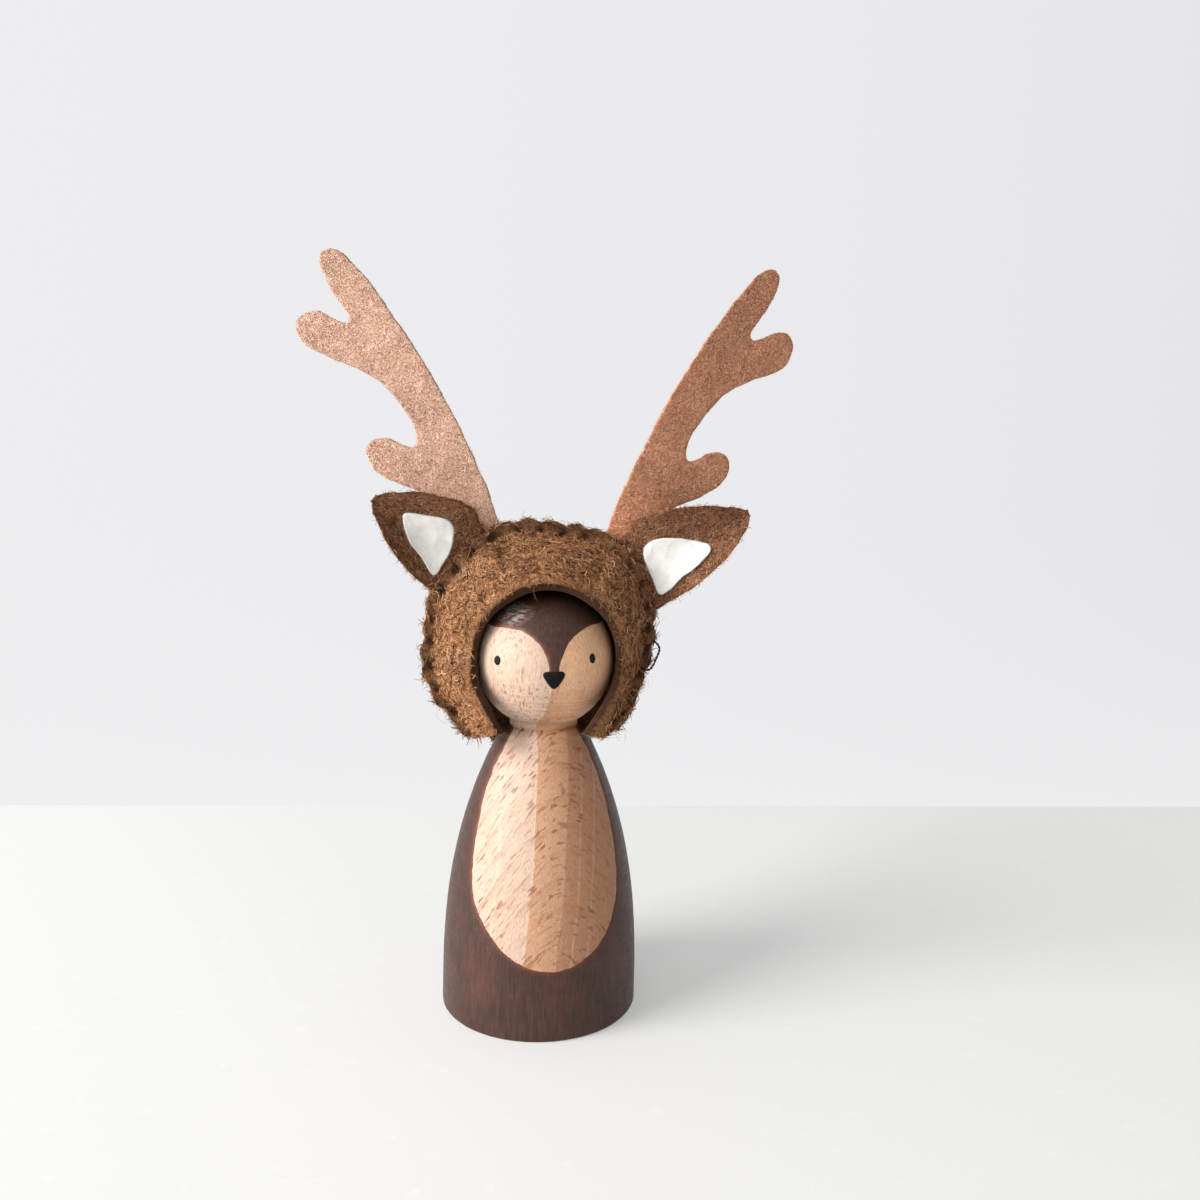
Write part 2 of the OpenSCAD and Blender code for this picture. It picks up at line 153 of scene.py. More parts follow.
def open_curve(points, count):
    p = np.asarray(points, float)
    p = np.concatenate([2 * p[:1] - p[1:2], p, 2 * p[-1:] - p[-2:-1]])
    t = np.linspace(0, len(p) - 3, count)
    i = np.minimum(t.astype(int), len(p) - 4)
    return between(p[i], p[i + 1], p[i + 2], p[i + 3], (t - i)[:, None])


# Roughens a flat outline.
def ragged(line, depth, size, layers, seeds):
    moves = [lumps(np.insert(line, 2, layer, 1), size, seed) for layer, seed in zip(layers, seeds)]
    return line + depth * np.stack(moves, 1)


# Meshes.
def added(name, data):
    ob = bpy.data.objects.new(name, data)
    scene.collection.objects.link(ob)
    return ob


def piece(name, verts, faces, material, floats=None):
    me = bpy.data.meshes.new(name)
    me.vertices.add(len(verts))
    me.vertices.foreach_set("co", (verts * MM).ravel())
    me.loops.add(faces.size)
    me.loops.foreach_set("vertex_index", faces.ravel().astype(np.int32))
    me.polygons.add(len(faces))
    me.polygons.foreach_set("loop_start", np.arange(0, faces.size, faces.shape[1], dtype=np.int32))
    me.update(calc_edges=True)
    me.validate()
    me.shade_smooth()
    for key, values in (floats or {}).items():
        me.attributes.new(key, "FLOAT", "POINT").data.foreach_set("value", np.asarray(values, np.float32))
    for m in material if isinstance(material, list) else [material]:
        me.materials.append(m)
    return added(name, me)


def read(items, key, wide, kind=float):
    values = np.empty(len(items) * wide, kind)
    items.foreach_get(key, values)
    return values.reshape(-1, wide)


def weld(ob):
    b = bmesh.new()
    b.from_mesh(ob.data)
    bmesh.ops.remove_doubles(b, verts=b.verts, dist=0.002 * MM)
    bmesh.ops.recalc_face_normals(b, faces=b.faces)
    b.to_mesh(ob.data)
    b.free()
    ob.data.shade_smooth()


# Faces between n rows of m points that close round.
def grid_faces(n, m):
    i, j = np.meshgrid(np.arange(n - 1), np.arange(m), indexing="ij")
    k = (j + 1) % m
    return np.stack([i * m + j, (i + 1) * m + j, (i + 1) * m + k, i * m + k], -1).reshape(-1, 4)


def solid_piece(name, rows, material, floats=None):
    n, m = rows.shape[:2]
    ob = piece(name, rows.reshape(-1, 3), grid_faces(n, m), material, floats)
    weld(ob)
    return ob


# A felt solid between an outer and an inner grid of points, with round cut edges.
def felt_solid(outer, inner, roundness, tip=None):
    mid, half = (outer + inner) / 2, (outer - inner) / 2
    thick = length(half)[..., None] * roundness
    lip = np.radians(np.linspace(0, 180, EDGE_STEPS + 2)[1:-1])[:, None]
    first = mid[:, :1] + unit(mid[:, :1] - mid[:, 1:2]) * thick[:, :1] * np.sin(lip)
    last = mid[:, -1:] + unit(mid[:, -1:] - mid[:, -2:-1]) * thick[:, -1:] * np.sin(lip)
    centre = np.concatenate([mid, last, mid[:, ::-1], first], 1)
    offset = np.concatenate([half, half[:, -1:] * np.cos(lip), -half[:, ::-1], -half[:, :1] * np.cos(lip)], 1)
    size = np.concatenate([thick, thick[:, [-1] * EDGE_STEPS], thick[:, ::-1], thick[:, [0] * EDGE_STEPS]], 1)
    turn = np.radians(np.linspace(90, 0, EDGE_STEPS + 1)[:-1])[:, None, None]
    low = unit(centre[0] - centre[1]) * size[0]
    high = unit(centre[-1] - centre[-2] if tip is None else np.array(tip, float)) * size[-1]
    start_rows = centre[0] + low * np.sin(turn) + offset[0] * np.cos(turn)
    end_rows = centre[-1] + high * np.sin(turn) + offset[-1] * np.cos(turn)
    return np.concatenate([start_rows, centre + offset, end_rows[::-1]])


# Tints of a felt solid, painted shade on the hood's panels: its outside by points, its far edge, its near
# edge and its inside.
def spread(tint, far, near, inside):
    edge = np.ones((len(tint), EDGE_STEPS))
    loop = np.concatenate([tint, far * edge, np.full(tint.shape, inside), near * edge], 1)
    return {"shade": np.concatenate([loop[[0] * EDGE_STEPS], loop, loop[[-1] * EDGE_STEPS]]).ravel()}


def belongs(ob, body, slot, *nodes):
    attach(ob, body)
    if nodes:
        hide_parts(*nodes)


# Nodes of a material.
def node(tree, kind, inputs=None, **props):
    n = tree.nodes.new(kind)
    for key, value in props.items():
        setattr(n, key, value)
    for key, value in (inputs or {}).items():
        if isinstance(value, bpy.types.NodeSocket):
            tree.links.new(value, n.inputs[key])
        else:
            n.inputs[key].default_value = value
    return n


# A node beside the sockets that it takes in.
def joined(kind, inputs, **props):
    sockets = [v for v in inputs.values() if isinstance(v, bpy.types.NodeSocket)]
    return node(sockets[0].id_data, kind, inputs, **props)


def maths(op, a, b=0.0, c=0.0):
    return joined("ShaderNodeMath", {0: a, 1: b, 2: c}, operation=op).outputs[0]


def times(a, b):
    return maths("MULTIPLY", a, b)


def times_plus(a, b, c):
    return maths("MULTIPLY_ADD", a, b, c)


def vector(op, a, b=(0, 0, 0)):
    n = joined("ShaderNodeVectorMath", {0: a, 1: b}, operation=op)
    return n.outputs["Value" if op in ("DOT_PRODUCT", "LENGTH") else "Vector"]


def ramp(fac, stops):
    n = joined("ShaderNodeValToRGB", {"Fac": fac})
    elements = n.color_ramp.elements
    while len(elements) < len(stops):
        elements.new(0.5)
    for e, (pos, col) in zip(elements, stops):
        e.position = pos
        e.color = (*col, 1) if isinstance(col, tuple) else (col, col, col, 1)
    return n.outputs[0]


def mix(fac, a, b, blend="MIX"):
    a, b = ((*v, 1) if isinstance(v, tuple) else v for v in (a, b))
    return joined("ShaderNodeMix", {0: fac, 6: a, 7: b}, data_type="RGBA", blend_type=blend).outputs[2]


def noise(vec, scale, detail=3.0, rough=0.55, distortion=0.0):
    inputs = {"Vector": vec, "Scale": scale, "Detail": detail, "Roughness": rough, "Distortion": distortion}
    return joined("ShaderNodeTexNoise", inputs).outputs[0]


def split(pos):
    return joined("ShaderNodeSeparateXYZ", {0: pos}).outputs


# Noise with its own scale in x, y and z.
def long_noise(pos, scale, *rest):
    return noise(vector("MULTIPLY", pos, scale), 1.0, *rest)


def attribute(shader, name):
    return node(shader.id_data, "ShaderNodeAttribute", attribute_name=name).outputs["Fac"]


def srgb(*levels):
    shares = [c / 255 for c in levels]
    return tuple(v / 12.92 if v <= 0.04045 else ((v + 0.055) / 1.055) ** 2.4 for v in shares)


def surface(name, **values):
    mat = bpy.data.materials.new(name)
    mat.use_nodes = True
    shader = mat.node_tree.nodes["Principled BSDF"]
    for key, value in values.items():
        shader.inputs[key.replace("_", " ")].default_value = value
    return mat, shader


# A surface with the place on it in millimetres.
def start(name, **values):
    mat, shader = surface(name, **values)
    place = node(mat.node_tree, "ShaderNodeTexCoord").outputs["Object"]
    return mat, shader, vector("MULTIPLY", place, (1 / MM,) * 3)


def paint(shader, colour):
    colour.id_data.links.new(colour, shader.inputs["Base Color"])


def gloss(shader, level):
    level.id_data.links.new(level, shader.inputs["Roughness"])


def bump(shader, height, depth):
    n = joined("ShaderNodeBump", {"Height": height, "Distance": depth * MM})
    n.id_data.links.new(n.outputs[0], shader.inputs["Normal"])


# Materials, with noise scales in repeats a millimetre.
def wood():
    mat, shader, pos = start("beech_wood")
    x, y, z = split(pos)
    level = times(z, 0.01)
    on_head = ramp(level, [(0.545, 0), (0.56, 1)])
    # leaning upright bands of tone with a pale line between them, stepping from pale on the left to deep on
    # the right as painted shade on the side away from the window
    low, wide = -26.0, 36.0
    lean = vector("DOT_PRODUCT", pos, (1, 0.207, -0.1155))
    waver = maths("SUBTRACT", noise(pos, 0.09, 2.0), 0.5)
    layer = times_plus(waver, 1.2, lean)
    light, warm, mid = srgb(216, 185, 163), srgb(205, 157, 121), srgb(214, 170, 136)
    deep, line, faint = srgb(188, 137, 102), srgb(228, 198, 172), srgb(208, 162, 128)
    stops = []
    for edge, before, seam_tone, after in (
            (-20.9, mid, line, light), (-15.2, light, line, light), (-9.5, light, line, warm),
            (-3.7, warm, faint, deep), (-0.7, deep, faint, deep), (2.2, deep, faint, deep),
            (8.0, deep, faint, warm)):
        at = (edge - low) / wide
        stops += [(at - 0.008, before), (at, seam_tone), (at + 0.006, after)]
    colour = ramp(times_plus(layer, 1 / wide, -low / wide), stops)
    # growth arches over the belly, each the same curve set higher
    arch_x, arch_round, arch_steep, arches_in_mm = 3.0, 60.0, 1.7, 0.21
    beside = maths("SUBTRACT", x, arch_x)
    bow = maths("SQRT", times_plus(beside, beside, arch_round))
    rise = times_plus(bow, arch_steep, z)
    shaken = times_plus(maths("SUBTRACT", noise(pos, 0.22, 3.0), 0.5), 3.2, rise)
    ring = maths("FRACT", times(shaken, arches_in_mm))
    arch = ramp(ring, [(0, 0), (0.55, 0.12), (0.86, 0.55), (0.95, 1), (1, 0)])
    strong = ramp(noise(pos, 0.16, 2.0), [(0.36, 0.12), (0.62, 1)])
    arch = times(times(arch, strong), times_plus(on_head, -0.75, 1))
    # short flecks that follow the arches on the body and stand upright on the head
    along = joined("ShaderNodeCombineXYZ", {0: times(rise, 1.5), 1: times(x, 0.55), 2: times(y, 0.25)})
    upright = vector("MULTIPLY", pos, (2.4, 2.4, 0.36))
    pick = joined("ShaderNodeMix", {0: on_head, 4: along.outputs[0], 5: upright}, data_type="VECTOR")
    dash = noise(pick.outputs[1], 1.0, 1.5, 0.5)
    where = ramp(noise(pos, 0.12, 1), [(0.35, 0.35), (0.6, 1)])
    fleck = times(ramp(dash, [(0.57, 0), (0.65, 1)]), where)
    # fine turned lines low on the head
    turned = long_noise(pos, (0.12, 0.12, 3.2), 2.0)
    chin = ramp(level, [(0.548, 0), (0.556, 1), (0.60, 0.7), (0.64, 0)])
    lathe = times(ramp(turned, [(0.5, 0), (0.62, 1)]), chin)
    pore = long_noise(pos, (5.0, 5.0, 1.3), 3.0, 0.6)
    # the right side of the face is painted paler, as painted light in place of the light that the hood keeps
    # off it, and has fewer flecks
    rightward = ramp(times_plus(x, 0.05, 0.5), [(0.5, 0), (0.7, 0.9)])
    face_painted_light = times(on_head, rightward)
    fewer = times_plus(face_painted_light, -0.6, times_plus(on_head, -0.1, 0.85))
    colour = mix(face_painted_light, colour, srgb(255, 201, 157))
    colour = mix(times(arch, 0.55), colour, srgb(178, 118, 78))
    colour = mix(times(fleck, fewer), colour, srgb(148, 88, 54))
    colour = mix(times(lathe, 0.4), colour, srgb(160, 104, 66))
    colour = mix(1, colour, ramp(pore, [(0.3, 0.74), (0.7, 1.12)]), "MULTIPLY")
    paint(shader, colour)
    gloss(shader, ramp(pore, [(0.3, 0.62), (0.7, 0.48)]))
    dents = times_plus(arch, 0.3, fleck)
    bump(shader, maths("SUBTRACT", times(pore, 0.5), dents), 0.035)
    return mat


def coat_paint():
    mat, shader, pos = start("brown_coat", Specular_IOR_Level=0.34)
    streak = long_noise(pos, (2.2, 2.2, 0.28), 4.0, 0.62, 0.4)
    sweep = long_noise(pos, (0.35, 0.35, 2.6), 3.0, 0.6, 0.6)
    colour = ramp(streak, [(0.30, srgb(52, 33, 26)), (0.55, srgb(72, 47, 37)), (0.75, srgb(90, 62, 50))])
    # thin places where the red of the stain shows
    worn = ramp(noise(pos, 0.13, 3.0, 0.6), [(0.50, 0), (0.68, 1)])
    low = ramp(times(split(pos)[2], 0.02), [(0, 0.35), (0.18, 1), (0.42, 0.25), (1, 0.12)])
    colour = mix(times(times(worn, low), 0.42), colour, srgb(106, 62, 47))
    # a painted highlight in brush strokes high on the left of the cap: the grey sheen of the window's
    # reflection on the coat
    sheen_at, sheen_scale = (-6.2, -6.5, 76.0), (0.24, 0.2, 0.36)
    within = vector("MULTIPLY", vector("SUBTRACT", pos, sheen_at), sheen_scale)
    reach = ramp(vector("LENGTH", within), [(0.45, 0.85), (1, 0)])
    sheen_strokes = ramp(long_noise(pos, (0.9, 0.9, 4.2), 3.0, 0.6, 0.5), [(0.42, 0), (0.62, 1)])
    colour = mix(times(sheen_strokes, reach), colour, srgb(176, 164, 160))
    colour = mix(attribute(shader, "rim"), colour, srgb(132, 66, 40))
    paint(shader, colour)
    gloss(shader, ramp(sweep, [(0.3, 0.36), (0.7, 0.56)]))
    pit = noise(pos, 2.4, 3.0, 0.6)
    height = times_plus(streak, 0.7, times_plus(pit, 0.5, times(sweep, 0.5)))
    bump(shader, height, 0.1)
    return mat


def black_paint():
    mat, shader, pos = start("black_dab", Specular_IOR_Level=0.14)
    fine = noise(pos, 2.6, 3.0)
    paint(shader, ramp(fine, [(0.3, srgb(9, 8, 8)), (0.7, srgb(22, 19, 18))]))
    gloss(shader, ramp(fine, [(0.3, 0.4), (0.7, 0.55)]))
    bump(shader, fine, 0.05)
    return mat


# Felt in three tones, with a fourth where it is shaded and pale curled hairs.
def felt(name, dark, mid, light, size, contrast, depth, sheen, shade=None, curls=0.0):
    dark, mid, light = srgb(*dark), srgb(*mid), srgb(*light)
    mat, shader, pos = start(name, Roughness=0.95, Specular_IOR_Level=0.15, Sheen_Weight=sheen,
                             Sheen_Roughness=0.45, Sheen_Tint=(*light, 1))
    strand = noise(pos, size, 5.0, 0.62, 2.6)
    cross = noise(pos, size * 2.3, 4.0, 0.6, 1.8)
    cloud = noise(pos, 0.16, 3.0)
    fibre = times_plus(strand, 0.6, times(cross, 0.4))
    colour = ramp(fibre, [(0.5 - contrast, dark), (0.5, mid), (0.5 + contrast, light)])
    if curls:
        hair = 0.0
        for shift, scale in ((0, 0.75), (31.0, 1), (77.0, 0.6)):
            moved = vector("ADD", pos, (shift, shift, shift))
            level = maths("SUBTRACT", noise(moved, scale, 2.0, 0.5, 0.9), 0.5)
            thin = ramp(maths("ABSOLUTE", level), [(0, 1), (0.022, 0.75), (0.048, 0)])
            hair = maths("MAXIMUM", thin, hair)
        hair = times(hair, ramp(cross, [(0.36, 0.2), (0.58, 1)]))
        colour = mix(times(hair, curls), colour, light)
        fibre = times_plus(hair, 0.25, fibre)
    colour = mix(1, colour, ramp(cloud, [(0.3, 0.86), (0.7, 1.12)]), "MULTIPLY")
    if shade:
        colour = mix(attribute(shader, "shade"), colour, srgb(*shade))
    paint(shader, colour)
    bump(shader, fibre, depth)
    return mat


def plain_fibre(name, *levels):
    tone = (*srgb(*levels), 1)
    return surface(name + "_fibre", Roughness=0.8, Specular_IOR_Level=0.1, Sheen_Weight=0.1, Base_Color=tone,
                   Sheen_Tint=tone)[0]


def thread_paint():
    mat, shader, pos = start("dark_thread", Roughness=0.7, Specular_IOR_Level=0.25)
    fine = noise(pos, 6.0, 3.0)
    paint(shader, ramp(fine, [(0.3, srgb(44, 26, 19)), (0.7, srgb(82, 52, 38))]))
    bump(shader, fine, 0.05)
    return mat


BEECH = wood()
COAT = coat_paint()
BLACK = black_paint()
BROWN = felt("brown_wool_felt", (56, 32, 22), (140, 90, 60), (226, 166, 116),
             1.7, 0.1, 0.36, 0.3, (46, 27, 20), 0.8)
EAR_BROWN = felt("ear_wool_felt", (30, 17, 12), (84, 54, 40), (188, 134, 100),
                 1.6, 0.08, 0.36, 0.3, (128, 78, 52), 0.75)
WHITE = felt("white_wool_felt", (228, 225, 218), (244, 242, 237), (250, 249, 247), 1.7, 0.2, 0.12, 0.25)
# the right antler has a deeper, shaded copy of the tan felt: painted shade for the antler turned away from
# the window
TAN = {-1: felt("tan_wool_felt", (158, 102, 76), (222, 174, 147), (252, 226, 208), 1.3, 0.11, 0.6, 0.2),
       1: felt("tan_wool_felt_shaded", (146, 84, 58), (212, 144, 108), (246, 198, 166), 1.3, 0.11, 0.5, 0.15)}
THREAD = thread_paint()

# Camera and stage, in metres.
CAMERA_AT = (-0.013254, -0.189537, 0.0958)
CAMERA_YAW, CAMERA_PITCH, CAMERA_ROLL = 7.1186, 5.289, 1.3
CAMERA_LENS, CAMERA_NEAR = 30, 0.01
LIGHT_AIM, WALL_EYE = (0, 0, 0.07), (-0.013, -0.19, 0)
FLOOR_HALF, FLOOR_DROP = 40, 0.00005
# Where the floor ends, and the direction to there.
FLOOR_EDGE, FLOOR_AWAY = 0.124, (0.052, 0.9986, 0)
FLOOR_LIFT, FLOOR_LIFT_SHARE = 1.36, 0.22


def camera():
    data = bpy.data.cameras.new("camera")
    data.lens = CAMERA_LENS
    data.clip_start = CAMERA_NEAR
    place = Matrix.Translation(CAMERA_AT)
    for angle, axis in ((-CAMERA_YAW, "Z"), (90 - CAMERA_PITCH, "X"), (CAMERA_ROLL, "Z")):
        place = place @ Matrix.Rotation(math.radians(angle), 4, axis)
    scene.camera = added("camera", data)
    scene.camera.matrix_world = place


def area_light(name, at, size, power, colour):
    data = bpy.data.lights.new(name, "AREA")
    data.shape = "DISK"
    data.size = size
    data.energy = power
    data.color = colour
    ob = added(name, data)
    ob.location = at
    ob.rotation_euler = (Vector(LIGHT_AIM) - Vector(at)).to_track_quat("-Z", "Y").to_euler()


# The wall is painted a little darker to the right, as painted shade away from the window.
def wall_shaded_tone(ahead):
    x, y, _ = split(ahead)
    side = maths("DIVIDE", x, maths("MAXIMUM", maths("ABSOLUTE", y), 0.05))
    left, middle, right = (0.86, 0.86, 0.875), (0.84, 0.84, 0.855), (0.79, 0.79, 0.805)
    return ramp(times_plus(side, 0.5, 0.5), [(0.1, left), (0.5, middle), (0.9, right)])


def seen_by_camera(tree):
    path = node(tree, "ShaderNodeLightPath")
    seen = maths("MAXIMUM", path.outputs["Is Camera Ray"], path.outputs["Is Glossy Ray"])
    return maths("MAXIMUM", seen, path.outputs["Is Transmission Ray"])


def floor_paint():
    mat, shader = surface("pale_floor", Roughness=0.7, Specular_IOR_Level=0.2)
    t = mat.node_tree
    place = node(t, "ShaderNodeTexCoord").outputs["Object"]
    speck = noise(place, 260.0, 2.0)
    paint(shader, ramp(speck, [(0.66, (0.86, 0.86, 0.842)), (0.72, (0.91, 0.91, 0.90))]))
    # beyond the far edge the floor takes the tone of the wall
    far = vector("DOT_PRODUCT", place, FLOOR_AWAY)
    beyond = ramp(vector("LENGTH", place), [(0.4, 0), (0.9, 1)])
    wall = maths("MAXIMUM", maths("GREATER_THAN", far, FLOOR_EDGE), beyond)
    tone = wall_shaded_tone(vector("SUBTRACT", place, WALL_EYE))
    near = maths("DIVIDE", FLOOR_EDGE, maths("MAXIMUM", far, FLOOR_EDGE))
    tone = mix(times(near, 0.5), tone, (0.89, 0.89, 0.90))
    glow = node(t, "ShaderNodeEmission", {"Color": tone})
    lift = node(t, "ShaderNodeEmission", {"Color": (1, 1, 0.985, 1), "Strength": FLOOR_LIFT})
    seen = seen_by_camera(t)
    lifted = times(seen, FLOOR_LIFT_SHARE)
    ground = node(t, "ShaderNodeMixShader", {0: lifted, 1: shader.outputs[0], 2: lift.outputs[0]})
    blend = node(t, "ShaderNodeMixShader", {0: times(wall, seen), 1: ground.outputs[0], 2: glow.outputs[0]})
    t.links.new(blend.outputs[0], t.nodes["Material Output"].inputs["Surface"])
    return mat


def floor():
    me = bpy.data.meshes.new("floor")
    corners = [(x * FLOOR_HALF, y * FLOOR_HALF, 0) for x, y in ((-1, -1), (1, -1), (1, 1), (-1, 1))]
    me.from_pydata(corners, [], [(0, 1, 2, 3)])
    me.materials.append(floor_paint())
    ob = added("floor", me)
    ob.location.z = -FLOOR_DROP


# The room is brighter on the side of the window.
def studio():
    world = bpy.data.worlds.new("studio")
    world.use_nodes = True
    t = world.node_tree
    ahead = node(t, "ShaderNodeTexCoord").outputs["Generated"]
    light = ramp(times_plus(split(ahead)[0], 0.5, 0.5), [(0, (0.58, 0.59, 0.60)), (1, (0.16, 0.16, 0.17))])
    tone = mix(seen_by_camera(t), light, wall_shaded_tone(ahead))
    t.links.new(tone, t.nodes["Background"].inputs["Color"])
    scene.world = world


camera()
floor()
studio()
area_light("window", (-1.01, -0.38, 0.47), 0.8, 18.6, (1, 0.99, 0.975))
area_light("front_fill", (-0.35, -1.0, 0.35), 0.6, 1.4, (1, 0.99, 0.98))
scene.view_settings.view_transform = "Standard"


# Wood and paint.
def flank_r(z):
    return BASE_R - FLANK_DRAW * (np.maximum(0, z - FLANK_LOW) / (FLANK_TOP - FLANK_LOW)) ** FLANK_POWER


# Radius and height of the turned outline.
def body_line():
    a = np.linspace(0, 90, 8)
    edge = coords(BASE_R - BASE_ROUND + BASE_ROUND * sind(a), BASE_ROUND - BASE_ROUND * cosd(a))
    z = np.linspace(1.0, FLANK_TOP, 110)
    flank = coords(flank_r(z), z)
    a = np.linspace(8, 90, 9)
    wide = flank_r(FLANK_TOP) - NECK_R
    shoulder = coords(NECK_R + wide * cosd(a), FLANK_TOP + (NECK_H - FLANK_TOP) * sind(a))
    return np.concatenate([edge, flank, shoulder])


def head_line(low, high, count):
    t = np.linspace(low, high, count)
    return coords(HEAD_R * sind(t), HEAD_Z - HEAD_R * cosd(t))


def revolve(line, count):
    a = np.linspace(0, 360, count, endpoint=False)
    r, z = line[:, :1], line[:, 1:]
    return coords(r * sind(a), -r * cosd(a), z)


NECK_ANGLE = math.degrees(math.asin(NECK_R / HEAD_R))


def turned_wood():
    around = 240
    underside = [[0.01, 0.0], [9.0, 0.0]]
    groove = [[NECK_R, NECK_H + 0.5], [NECK_R, NECK_H + 1.0]]
    line = np.concatenate([underside, body_line(), groove, head_line(NECK_ANGLE, 179.6, 90)])
    rows = revolve(line, around)
    ob = piece("turned_wood", rows.reshape(-1, 3), grid_faces(len(line), around), BEECH)
    belongs(ob, "doll", "beech", "wooden_doll")


# Distance from an outline, less than zero inside.
def outline_distance(px, pz, line):
    p = coords(px.ravel(), pz.ravel())
    d = np.full(len(p), 1e9)
    inside = np.zeros(len(p), bool)
    for (ax, az), (bx, bz) in zip(line, np.roll(line, -1, 0)):
        e = np.array([bx - ax, bz - az])
        q = p - (ax, az)
        k = np.clip(q @ e / max(e @ e, 1e-12), 0, 1)
        d = np.minimum(d, np.hypot(*(q - k[:, None] * e).T))
        spans = (az > p[:, 1]) != (bz > p[:, 1])
        inside ^= spans & (p[:, 0] < (bx - ax) * (p[:, 1] - az) / (bz - az + 1e-12) + ax)
    return np.where(inside, -d, d).reshape(px.shape)


# Outline of the bare wood on the belly.
def belly_line():
    a = np.linspace(-180, 0, 50)
    low = coords(BELLY_W * cosd(a), BELLY_Z + (BELLY_Z - BELLY_LOW) * sind(a))
    top = NECK_H + 1
    z = np.linspace(BELLY_Z, top, 30)[1:]
    x = BELLY_W - BELLY_ARC + np.sqrt(BELLY_ARC**2 - (z - BELLY_Z) ** 2)
    line = np.concatenate([low, coords(x, z), [[NECK_R, top + 2], [-NECK_R, top + 2]], coords(-x, z)[::-1]])
    line[:, 0] += BELLY_SHIFT * soft((BELLY_Z - line[:, 1]) / BELLY_SHIFT_H)
    return line


# A coat on rows of the wood, with d as their distance into the painted part.
def coat(name, rows, normals, d, nodes):
    d = d + 0.16 * lumps(rows, 2.4, 3) + 0.07 * lumps(rows, 0.8, 4)
    # the coat thins out and sinks into the wood beyond its edge
    thick = np.clip(d * 0.45, -0.3, COAT_T) + 0.02 * lumps(rows, 1.2, 5)
    pts = rows + normals * thick[..., None]
    faces = grid_faces(*d.shape)
    faces = faces[(d.ravel()[faces] > -0.8).any(1)]
    used, faces = np.unique(faces, return_inverse=True)
    rim = 0.85 * np.exp(-np.maximum(d, 0) / 0.28) * np.where(rows[..., 0] < 1, 1.0, 0.45)
    ob = piece(name, pts.reshape(-1, 3)[used], faces.reshape(-1, 4), COAT, {"rim": rim.ravel()[used]})
    belongs(ob, "doll", "brown_paint", nodes)


def body_coat():
    around = 340
    line = body_line()[3:]
    along = np.gradient(line, axis=0)
    out = unit(coords(along[:, 1], -along[:, 0]))
    rows = revolve(line, around)
    x, y, z = apart(rows)
    d = np.where(y > 0, 9, outline_distance(x, z, belly_line()))
    coat("body_coat", rows, revolve(out, around), d, "body_paint")


def cap_coat():
    rows = revolve(head_line(NECK_ANGLE + 3, 179.7, 170), 320)
    normals = (rows - (0, 0, HEAD_Z)) / HEAD_R
    x, y, z = apart(rows - (PEAK_X, 0, CHEEK_Z))
    radius = np.where(x > 0, CHEEK_R + RIGHT_CHEEK_MORE, CHEEK_R)
    reach = radius + PEAK_W / 2
    cheek = np.hypot(np.abs(x) - reach, np.maximum(z, 0)) - radius
    beside = np.where(np.abs(x) > reach, z - radius, cheek)
    d = np.where(z < 0, np.maximum(z, -1.5) - 0.01, np.maximum(beside, -9))
    coat("cap_coat", rows, normals, np.maximum(d, y + 1), "head_paint")


def dab(name, turn, up, thick, line, nodes):
    share = np.concatenate([[0.0], np.linspace(0.12, 1.06, 14)])[:, None]
    x = share * line[:, 0]
    middle = line[:, 1].mean()
    z = up + share * (line[:, 1] - middle) + middle
    p = coords(x, -np.sqrt(HEAD_R**2 - x**2 - z**2), z)
    high = thick * np.sqrt(np.clip(1 - np.minimum(share, 1.0) ** 3, 0, 1)) - 0.06 * (share > 1.0)
    high = high * (1 + 0.25 * lumps(p, 0.8, 9))
    x, y, z = apart(p * (1 + high / HEAD_R)[..., None])
    c, s = cosd(turn), sind(turn)
    p = coords(x * c - y * s, x * s + y * c, z + HEAD_Z)
    belongs(solid_piece(name, p, BLACK), "doll", "black_paint", nodes)


def face():
    a = np.linspace(0, 360, 40, endpoint=False)
    ring = coords(0.76 * cosd(a), 0.88 * sind(a))
    dab("eye_left", -45, 1.0, 0.2, ring * (1.02, 0.97), "left_eye")
    dab("eye_right", 38, 1.6, 0.2, ring * (0.94, 1.02), "right_eye")
    w, h = NOSE_W / 2, NOSE_H
    shape = [[-w + 0.3, 0.05], [-0.8, 0.18], [0.1, 0.1], [1.0, 0.2], [w - 0.25, 0.08], [w, -0.55],
             [1.5, -1.5], [0.75, -h + 0.45], [0, -h], [-0.7, -h + 0.5], [-1.45, -1.45], [-w, -0.5]]
    dab("nose_dab", 0, -0.62, 0.3, closed_curve(shape, 8) + (PEAK_X, 0), "nose")


turned_wood()
body_coat()
cap_coat()
face()

# Shape of the hood, the same as in the part's source.
# A phi is an angle from the top of the seam, less than zero on the left.
# An o is 1 outside on the felt and 0 inside.
LOBE_SHARE, OPEN_END_X = {-1: 0.66, 1: 0.505}, {-1: 8, 1: 6.2}
EAR_HALF, ANTLER_HALF = {-1: 20, 1: 20}, {-1: 11, 1: 12}
LOBE_CLEAR, LOBE_SAG, MOUTH_GROW, FRONT_BULGE = 0.3, 0.3, 0.7, 0.7
NAPE_OUT, NAPE_IN = -27.0, -39.0
HOOD_MIDDLE = (0, 0, HOOD_Z)


def by_side(s, pair):
    return np.where(s < 0, pair[-1], pair[1])


def sweep_k(a):
    return np.where(a <= 90, 0, (1 - sind(np.maximum(a, 90))) / (1 - sind(HOOD_END)))


def bulge(a, s):
    return np.where((s > 0) | (a <= 90), 0, LOBE_BULGE * sind(180 * (a - 90) / (HOOD_END - 90)))


